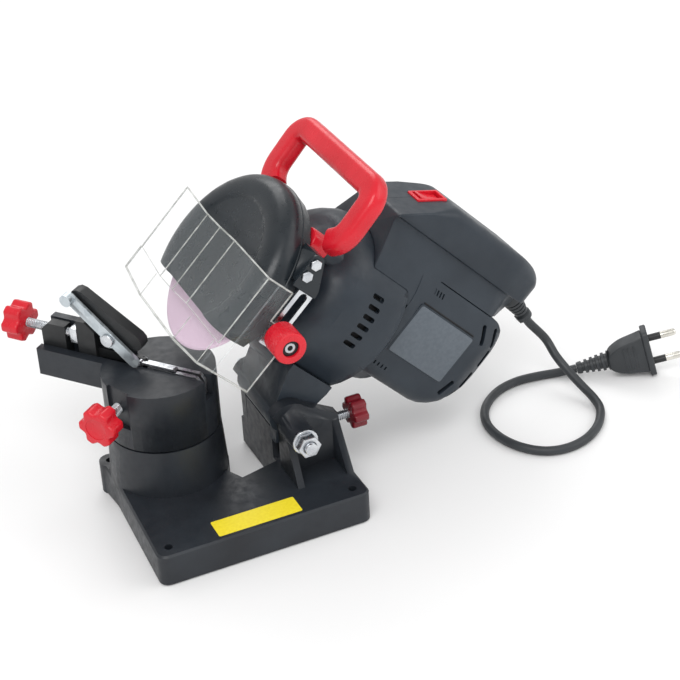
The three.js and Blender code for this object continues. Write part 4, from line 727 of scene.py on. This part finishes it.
# Slots round the motor's end: along, up and lean in degrees, then the distance out
END_SLOTS = [(86.5, 111.5, 110, 38), (98.3, 113.5, 112, 33), (101.5, 99, 94, 34),
             (100.5, 81, 87, 34), (96.5, 66.5, 60, 35), (87.2, 70.4, 70, 38)]


def motor_slots():
    """Cutters for the slots round the end on both sides, and the small ones on the near side."""
    cuts = []
    for along, up, lean, out in END_SLOTS:
        for side in (-1, 1):
            slot = softened(box_form(-1.7, 1.7, -8, 8, -6.5, 6.5), 1.2, 3, 30)
            spin = Matrix.Rotation(math.radians(90 - lean), 4, "Y")
            reach = Matrix.Translation((along, side * out, up))
            bmesh.ops.transform(slot, matrix=reach @ spin, verts=slot.verts)
            cuts.append(slot)
    for i in range(4):
        above, below = 2.6 * i, 3.4 * i
        cuts.append(softened(box_form(33.6 + above, 34.8 + above, -42, -26, 115.2, 119), 0.5, 2))
        cuts.append(softened(box_form(26.6 + below, 27.8 + below, -46, -34, 58.4, 61.2), 0.5, 2))
    return merged(*cuts)


def make_motor_housing():
    """Hollow motor housing in two halves, fitted into the gear drum."""
    wall = 3
    near_end = [80, 83, 86, 89, 92, 95, 98, 100.5, 103, 105, 107, 108.5, 110, 111.3]
    outer = motor_form(0, [20, 40, 60, 74, 77, *near_end, 112.5, 113.4, 114.2])
    drum = turned([(10, 0), (10, 51.8), *shoulder(-0.6), (45, 33.6), (48.4, 24.8), (48.4, 0)],
                  "X", GEAR_AXIS, 96)
    shell = combined("DIFFERENCE", outer, motor_form(wall, [14, 40, 60, 74, 77, *near_end]), drum,
                     rod("X", 14.4, 38, 60, MOTOR_AXIS, 48))
    shell = combined("DIFFERENCE", shell, motor_slots())
    for side, form in (("near", shell), ("far", shell.copy())):
        half = combined("INTERSECT", form, half_block(side, 0))
        piece("motor_shell_" + side, half, HEAD, "head", slate, ("motor_housing_" + side,),
              32)


make_motor_housing()


def make_nameplate():
    """Bare grey plate in its shallow frame on the motor, with a black strip of painted shadow above
    it.
    """
    border = rounded(rectangle(28.2, 80.6, 70.2, 107), 2.4, 5)
    field = rounded(rectangle(29.4, 79.6, 71.2, 106), 1.8, 5)
    piece("nameplate_frame", softened(pushed("Y", border, -39.2, -37.6), 0.2, 2), HEAD, "head",
          slate, ())
    piece("nameplate", softened(pushed("Y", field, -39.4, -38.2), 0.12, 2), HEAD, "head",
          plate_grey, ())
    # A black strip above the plate paints the shadow of its recessed top edge.
    gap = softened(box_form(30, 79, -38.6, -37.2, 107.4, 108.3), 0.3, 2)
    piece("nameplate_painted_shadow", gap, HEAD, "head", shadow_black, ())


make_nameplate()


# Stations along the handle block: its highest and lowest lines, how far its plan narrows, and
# the widest that its flank may be towards its end
ROOF = [(-18, 142.5), (14, 163.26), (17, 164.9), (19, 165.75), (21.5, 166.35), (25, 166.5),
        (89, 166.5), (95, 165.9), (100, 164.9), (104, 163.3), (108, 160.8), (111.5, 157.6),
        (114, 153.8), (115.6, 149.2)]
FLOOR = [(-18, 100), (90, 100), (100.3, 119), (112, 138.7), (114, 142.3), (115.6, 146.4)]
NARROW = [(-18, 1), (84, 1), (90, 0.975), (95, 0.94), (100, 0.9), (104, 0.86), (108, 0.79),
          (111.5, 0.70), (114, 0.58), (115.6, 0.45)]
CHEEK_END = [(-18, 60), (80, 60), (84, 40), (87, 33), (90, 29), (94, 24.5), (98, 21), (104, 16),
             (112, 12)]
# The slope at the block's front, as (along, up) at its two ends, and where the switch sits on it
SLOPE_START, SLOPE_END, SWITCH_ALONG = (-18, 142), (19, 166), 9.3
SLOPE_TURN = math.atan((SLOPE_END[1] - SLOPE_START[1]) / (SLOPE_END[0] - SLOPE_START[0]))
SWITCH_UP = SLOPE_START[1] + math.tan(SLOPE_TURN) * (SWITCH_ALONG - SLOPE_START[0])
SLOPE = Matrix.Translation((SWITCH_ALONG, 0, SWITCH_UP)) @ Matrix.Rotation(-SLOPE_TURN, 4, "Y")


def top_ring(x, shrink):
    """Section of the handle block at a station along the motor."""
    within, corner_steps = 0.3, 8  # the first keeps its flank inside the motor's
    high, low = between(ROOF, x) - shrink, between(FLOOR, x) + shrink
    corner = min(9.0, max(1.6, (high - 153) * 0.68), (high - low) * 0.45)
    limit, edge = between(CHEEK_END, x), min(1.2, 0.2 * (high - low))
    foot = min(between(CHEEK, low), limit) - within
    half = [(foot - edge, low), (foot - 0.3 * edge, low + 0.3 * edge), (foot, low + edge)]
    levels = (105, 110, 115, 119, 122.4, 130, 137.6, 139.6, 140.6, 141.4, 143)
    for z in squeezed(levels, low + edge, high - corner):
        flank = between(CHEEK, z) - (within if z < 121 else 0)
        half.append((flank if z > 141 else min(flank, limit), z))
    for i in range(corner_steps + 1):
        turn = math.radians(90 * i / corner_steps)
        half.append((BLOCK_FLANK - corner + corner * math.cos(turn),
                     high - corner + corner * math.sin(turn)))
    return whole_ring(x, half, shrink, between(NARROW, x))


def make_top_block():
    """Handle block above the motor, in two halves, with its switch pocket."""
    full = (-16.8, -8, 2, 8, 12, 14.5, 17, 19, 21.5, 25, 40, 60, 80, 82, 84, 87, 90, 93, 96.5, 100,
            102.5, 105, 107.5, 110, 112, 113.2, 114.2, 114.8)
    stations = [(-18, 1.2), (-17.65, 0.4), *[(x, 0) for x in full], (115.2, 0.9)]
    block = lofted([top_ring(x, shrink) for x, shrink in stations])
    drum = turned([(-50, 0), (-50, 52.9), (12, 52.9), *shoulder(0.3)[:-1], (42, 34.9), (42, 0)],
                  "X", GEAR_AXIS, 96)
    pocket = box_form(-10.8, 10.8, -7.8, 7.8, -13.3, 6)
    bmesh.ops.transform(pocket, matrix=SLOPE, verts=pocket.verts)
    socket = rod("X", 8.8, -4, 12, (0, 0), 40)
    bmesh.ops.transform(socket, matrix=RELIEF_SEAT, verts=socket.verts)
    hollow = pushed("Y", [(-14.5, 126), (86, 126), (86, 139), (90, 143), (103, 143), (103, 159),
                          (23, 159), (-14.5, 137)], -19.5, 19.5)
    underside = box_form(36, 130, -50, 50, 90, 124.1)
    block = combined("DIFFERENCE", block, drum, underside, pocket, socket, hollow)
    near = combined("INTERSECT", block, half_block("near", -60))
    far = near.copy()
    bmesh.ops.scale(far, vec=(1, -1, 1), verts=far.verts)
    bmesh.ops.reverse_faces(far, faces=far.faces)
    for side, form in (("near", near), ("far", far)):
        piece("top_shell_" + side, form, HEAD, "head", slate, ("top_housing_" + side,),
              32)


make_top_block()


def make_switch():
    """Red bezel on the block's slope, and the rocker in it."""
    rim = rounded(rectangle(-10.5, 10.5, -7.5, 7.5), 0.8, 4)
    bezel = softened(pushed("Z", rim, -13, 1.5), 0.5, 3, 40, lambda at: at.z > 1)
    bezel = combined("DIFFERENCE", bezel, box_form(-8.5, 8.5, -5.5, 5.5, -11, 4))
    piece("switch_bezel", bezel, HEAD @ SLOPE, "head", red, ("rocker_frame",))
    tip = pushed("Y", [(-7.1, -2), (-2.5, -8.5), (2.5, -8.5), (7.1, -4), (7.1, -0.3),
                       (3.5, -0.35), (0, 0.3), (-3.5, 1.15), (-7.1, 2.2)], -5.2, 5.2)
    softened(tip, 0.4, 3, 50)
    piece("switch_rocker", tip, HEAD @ SLOPE, "rocker", red, ("rocker_switch",))


make_switch()


def make_guard():
    """Domed guard cover with a round recess, open below."""
    cut = 26.5
    outer = [(-89.4, 0), (-89.4, 39.4), (-89.7, 40.4), (-90.4, 41.2), (-91, 42.4), (-91, 47.5),
             (-90.7, 50.2), (-89.8, 53.0), (-88.2, 55.6), (-86, 57.6), (-83.4, 58.9),
             (-80.5, 59.5), (-76.2, 59.5), (-75.6, 59.2), (-75.2, 59.5), (-74.3, 59.4)]
    inner = [(-74.3, 57.3), (-80.6, 57.3), (-83.6, 56.4), (-85.8, 54.6), (-87.4, 52), (-88.4, 49),
             (-88.6, 45), (-87.2, 41), (-87.2, 0)]
    cover = turned(outer + inner, "X", GUARD_AXIS, 144)
    cover = combined("DIFFERENCE", cover, box_form(-100, -60, -80, 80, -40, cut))
    softened(cover, 0.4, 2, 50, lambda at: at.z < cut + 0.1)
    piece("guard_dome", cover, HEAD, "head", guard_black, ("guard_cover",), 36)


make_guard()
eased("guard_back", 0.4, guard_black)


def make_loop_handle():
    """Moulded loop with a rounded section, its ends screwed to the gear housing."""
    half_thick, half_bar, corner, lean = 6.5, 8, 5.4, math.tan(math.radians(3))
    bolts = [(-28.75, 98.2), (28.75, 98.2)]
    bend, bend_steps, overlap = 9, 8, 2
    line = [(-21.5, 92.9), (-52.8, 112.5), (-53, 141), (-46.5, 147.3), (0, 147.3)]
    line += [(-y, z) for y, z in reversed(line[:-1])]
    ends = bend_steps + 1  # points of the bend at each open end, which are left out
    line = rounded(line, bend, bend_steps)[ends:-ends]
    path = [Vector((-58.6 - lean * (z - 98), y, z)) for y, z in line]
    path = [path[0] + (path[0] - path[1]).normalized() * overlap, *path]
    path.append(path[-1] + (path[-1] - path[-2]).normalized() * overlap)
    ring = rounded(rectangle(-half_thick, half_thick, -half_bar, half_bar), corner, 8)
    rings = []
    for i, at in enumerate(path):
        ahead = (path[min(i + 1, len(path) - 1)] - path[max(i - 1, 0)]).normalized()
        side = Vector((1, 0, 0)).cross(ahead).normalized()
        rings.append([(at.x + a, at.y + side.y * b, at.z + side.z * b) for a, b in ring])
    pads = [softened(rod("X", 8, -64.9, -50.8, bolt, 40), 0.8, 3, 50) for bolt in bolts]
    bores = merged(*[rod("X", 3.5, -80, -40, bolt, 32) for bolt in bolts])
    handle = combined("DIFFERENCE", combined("UNION", lofted(rings), *pads), bores)
    piece("loop_grip", handle, HEAD, "head", red, ("loop_handle",), 36)


make_loop_handle()


def make_disc():
    """Grinding disc with a rounded grinding edge, and the paper ring on its face."""
    wheel = turned([(-76.7, 11.1), (-76.7, 52.4), (-76.2, 53.5), (-75.1, 54), (-74.4, 53.6),
                    (-73.5, 52.4), (-73.5, 11.1)], "X", DISC_AXIS, 144, closed=True)
    piece("abrasive_disc", wheel, HEAD, "disc", abrasive, ("grinding_disc",), 24)
    ring = hoop("X", 12, 25, -76.9, -76.72, DISC_AXIS, 96)
    piece("disc_blotter", ring, HEAD, "disc", paper, ())


make_disc()
for node in ("flange_inner", "disc_nut", "spindle"):
    eased(node, 0.3)


# Shield: plans of its folds above and below the crease, and its heights
SHIELD_NEAR, SHIELD_FAR = -64.4, 69.2
UPPER_PLAN = [(-93.3, SHIELD_NEAR), (-93.9, -13.65), (-99, 0), (-101, 16.68), (-92, SHIELD_FAR)]
LOWER_PLAN = [(-97, SHIELD_NEAR), (-105, -42.25), (-104.2, 16.68), (-92.5, SHIELD_FAR)]
SHIELD_TOP, SHIELD_CREASE, SHIELD_FOOT = 71.6, 24, 7.6


def edge_rods(points, radius):
    """Slim rods along a line, one for each span."""
    rods = []
    for here, ahead in zip(points, points[1:]):
        here, ahead = Vector(here), Vector(ahead)
        span = rod("X", radius, 0, (ahead - here).length, (0, 0), 10)
        turn = (ahead - here).to_track_quat("X", "Z").to_matrix().to_4x4()
        bmesh.ops.transform(span, matrix=Matrix.Translation(here) @ turn, verts=span.verts)
        rods.append(span)
    return rods


def raised(plan, height):
    return [(x, y, height) for x, y in plan]


def make_shield():
    """Clear folded sheet with its cut edges and folds picked out."""
    eased("shield", 0.3)
    top = raised(UPPER_PLAN, SHIELD_TOP)
    crease = raised(UPPER_PLAN, SHIELD_CREASE)
    foot = raised(LOWER_PLAN, SHIELD_FOOT)
    tab_top, tab_foot = (-73.6, SHIELD_NEAR, SHIELD_TOP), (-55.6, SHIELD_NEAR, SHIELD_FOOT)
    tab_step = [(-73.6, SHIELD_NEAR, 51), (-55.6, SHIELD_NEAR, 50.6)]
    rods = edge_rods([tab_top, *top, crease[-1]], 0.55)
    rods += edge_rods([tab_foot, *foot, (*LOWER_PLAN[-1], SHIELD_CREASE)], 0.7)
    rods += edge_rods([tab_top, *tab_step, tab_foot], 0.45)
    for x, y in UPPER_PLAN[:-1]:
        rods += edge_rods([(x, y, SHIELD_TOP), (x, y, SHIELD_CREASE)], 0.42)
    for x, y in LOWER_PLAN[:-1]:
        rods += edge_rods([(x, y, SHIELD_CREASE), (x, y, SHIELD_FOOT)], 0.3)
    rods += edge_rods(crease, 0.25)
    piece("shield_edges", merged(*rods), HEAD, "shield", clear_rim, ())


make_shield()


def make_strap():
    """Slotted zinc strip below, and its dark foot under the two bolts."""
    strap = welded("shield_strap")
    bmesh.ops.transform(strap, matrix=HEAD.inverted() @ BENCH, verts=strap.verts)
    foot = combined("INTERSECT", strap.copy(), box_form(-90, -40, -70, -50, 75.3, 110))
    strip = combined("INTERSECT", strap, box_form(-68.4, -57.2, -70, -50, 20, 75))
    piece("strap_strip", strip, HEAD, "head", zinc, ("shield_strap",))
    piece("strap_foot", foot, HEAD, "head", guard_black, ())


make_strap()
for node in ("strap_bolt_lower", "strap_bolt_upper", "loop_bolt_near", "loop_bolt_far"):
    eased(node, 0.25)

SHIELD_SCREW = (-62.7, 46.5)


def make_thumb_nut():
    """Fine-ribbed thumb nut with a black ring, a steel ring and a hollow in its face, its bore
    closed by a dark disc of painted shade.
    """
    grip = softened(pushed("Y", lobed(10, 0.16, SHIELD_SCREW, 40, 240), -82.3, -65.3), 1.0, 4, 60)
    grip = combined("DIFFERENCE", grip, rod("Y", 5.3, -84, -79, SHIELD_SCREW, 40),
                    rod("Y", 2.7, -80, -60, SHIELD_SCREW, 32))
    piece("thumb_grip", grip, HEAD, "thumb_nut", red, ("shield_thumb_nut",), 30)
    ring = softened(hoop("Y", 3.35, 5.25, -80.8, -79.05, SHIELD_SCREW, 48), 0.3, 2, 50)
    # The dark core fills the nut's bore with painted shade.
    core = rod("Y", 1.55, -79.8, -79.1, SHIELD_SCREW, 32)
    piece("thumb_socket", merged(ring, core), HEAD, "thumb_nut", shadow_black, ())
    inner = softened(hoop("Y", 1.6, 3.3, -80.9, -79.1, SHIELD_SCREW, 48), 0.3, 2, 50)
    piece("thumb_ring", inner, HEAD, "thumb_nut", steel, ())


def make_shield_screw():
    """Threaded stud with a collar on either side of the strap."""
    collars = [softened(rod("Y", 4.2, start, end, SHIELD_SCREW, 32), 0.3)
               for start, end in ((-62.7, -60.7), (-58.6, -56.8))]
    stud = merged(screw_form("Y", 2.4, -74.6, -58.4, SHIELD_SCREW, 0.9), *collars)
    piece("shield_screw", stud, HEAD, "shield", zinc, ("shield_stud",))


make_thumb_nut()
make_shield_screw()


# Hand knobs and their screws, each about its own line
STOP_LINE, LOCK_LINE, DEPTH_LINE = (0, 11), (11.5, -14.3), (-3, 43.5)
SCREW_PITCH = 1.25


def make_knob(node, axis, radius, span, line, dish, place, hub=None):
    """Six-lobed knob with rounded edges, a dished face and sometimes a hub behind it."""
    lobe_depth, edge_width, hub_radius = 2.6, 1.5, 6.5
    form = softened(pushed(axis, lobed(radius, lobe_depth, line), *span), edge_width, 4, 60)
    if hub:
        form = merged(form, softened(rod(axis, hub_radius, *hub, line, 48), 0.5, 2, 50))
    form = combined("DIFFERENCE", form, turned(dish, axis, line, 48))
    piece(node + "_grip", form, place, node_body(node), finishes[slots[node]], (node,))


def make_screw(node, axis, radius, span, line, place):
    piece(node + "_thread", screw_form(axis, radius, *span, line, SCREW_PITCH), place,
          node_body(node), zinc, (node,))


make_knob("stop_knob", "X", 12.6, (94.5, 106.6), STOP_LINE,
          [(105.4, 0), (105.4, 4.6), (106.2, 7), (108.1, 7.4), (108.1, 0)], VICE, (91.5, 95))
make_screw("stop_screw", "X", 3, (50.7, 100.9), STOP_LINE, VICE)
make_knob("lock_knob", "Y", 12.5, (44, 56), LOCK_LINE,
          [(54.9, 0), (54.9, 4.6), (55.6, 7), (58, 7.4), (58, 0)], VICE, (41, 44.5))
make_screw("lock_stud", "Y", 3.5, (24.4, 49.9), LOCK_LINE, VICE)
make_knob("depth_knob", "X", 10.5, (83, 93), DEPTH_LINE,
          [(92, 0), (92, 4), (92.6, 6), (95, 6.4), (95, 0)], BENCH)
make_screw("depth_screw", "X", 3, (43.9, 87.9), DEPTH_LINE, BENCH)

# Vice pieces with broken edges, and the groove round the turret's foot
eased("vice_turret", cutter=hoop("Z", 34.3, 40, 53.7, 55.2, TURRET_AXIS, 96))
for node in ("jaw_front", "jaw_rear", "stop_block", "lever_pin", "stop_carriage", "stop_nut",
             "finger_pin", "chain_finger", "clamp_lever", "lever_grip"):
    eased(node)

# Base casting and hinge fasteners
for node in ("base_casting", "pivot_bolt", "pivot_washer", "pivot_nut", "vice_bolt"):
    eased(node, 0.4)


def make_label():
    """Bare yellow label on the foot."""
    line = rounded(rectangle(-28, 26.5, -55.5, -40), 1.2, 4)
    piece("foot_label", pushed("Z", line, 21.95, 22.12), BENCH, "base", label_yellow, ())


make_label()


# Floor, backdrop and soft studio light
def make_stage():
    floor_form = bmesh.new()
    bmesh.ops.create_grid(floor_form, x_segments=2, y_segments=2, size=4)
    data = bpy.data.meshes.new("studio_floor")
    floor_form.to_mesh(data)
    floor_form.free()
    data.materials.append(material("pale_floor", grey(0.86), 0.85)[0])
    floor = bpy.data.objects.new("studio_floor", data)
    bpy.context.scene.collection.objects.link(floor)
    world = bpy.data.worlds.new("studio")
    world.use_nodes = True
    world.node_tree.nodes["Background"].inputs["Color"].default_value = (1, 1, 1, 1)
    world.node_tree.nodes["Background"].inputs["Strength"].default_value = 0.75
    bpy.context.scene.world = world
    target = Vector((0.05, 0.02, 0.08))
    lamps = [("key_lamp", (-0.5, -0.9, 1.5), 1.0, 14), ("fill_lamp", (1.3, -0.6, 1.0), 1.2, 6),
             ("rim_lamp", (0.4, 1.3, 1.3), 1.0, 8)]
    for name, place, size, power in lamps:
        lamp = bpy.data.lights.new(name, "AREA")
        lamp.size, lamp.energy = size, power
        thing = bpy.data.objects.new(name, lamp)
        turn = (target - Vector(place)).to_track_quat("-Z", "Y").to_matrix().to_4x4()
        thing.matrix_world = Matrix.Translation(place) @ turn
        bpy.context.scene.collection.objects.link(thing)
    bpy.context.scene.view_settings.view_transform = "Standard"


make_stage()
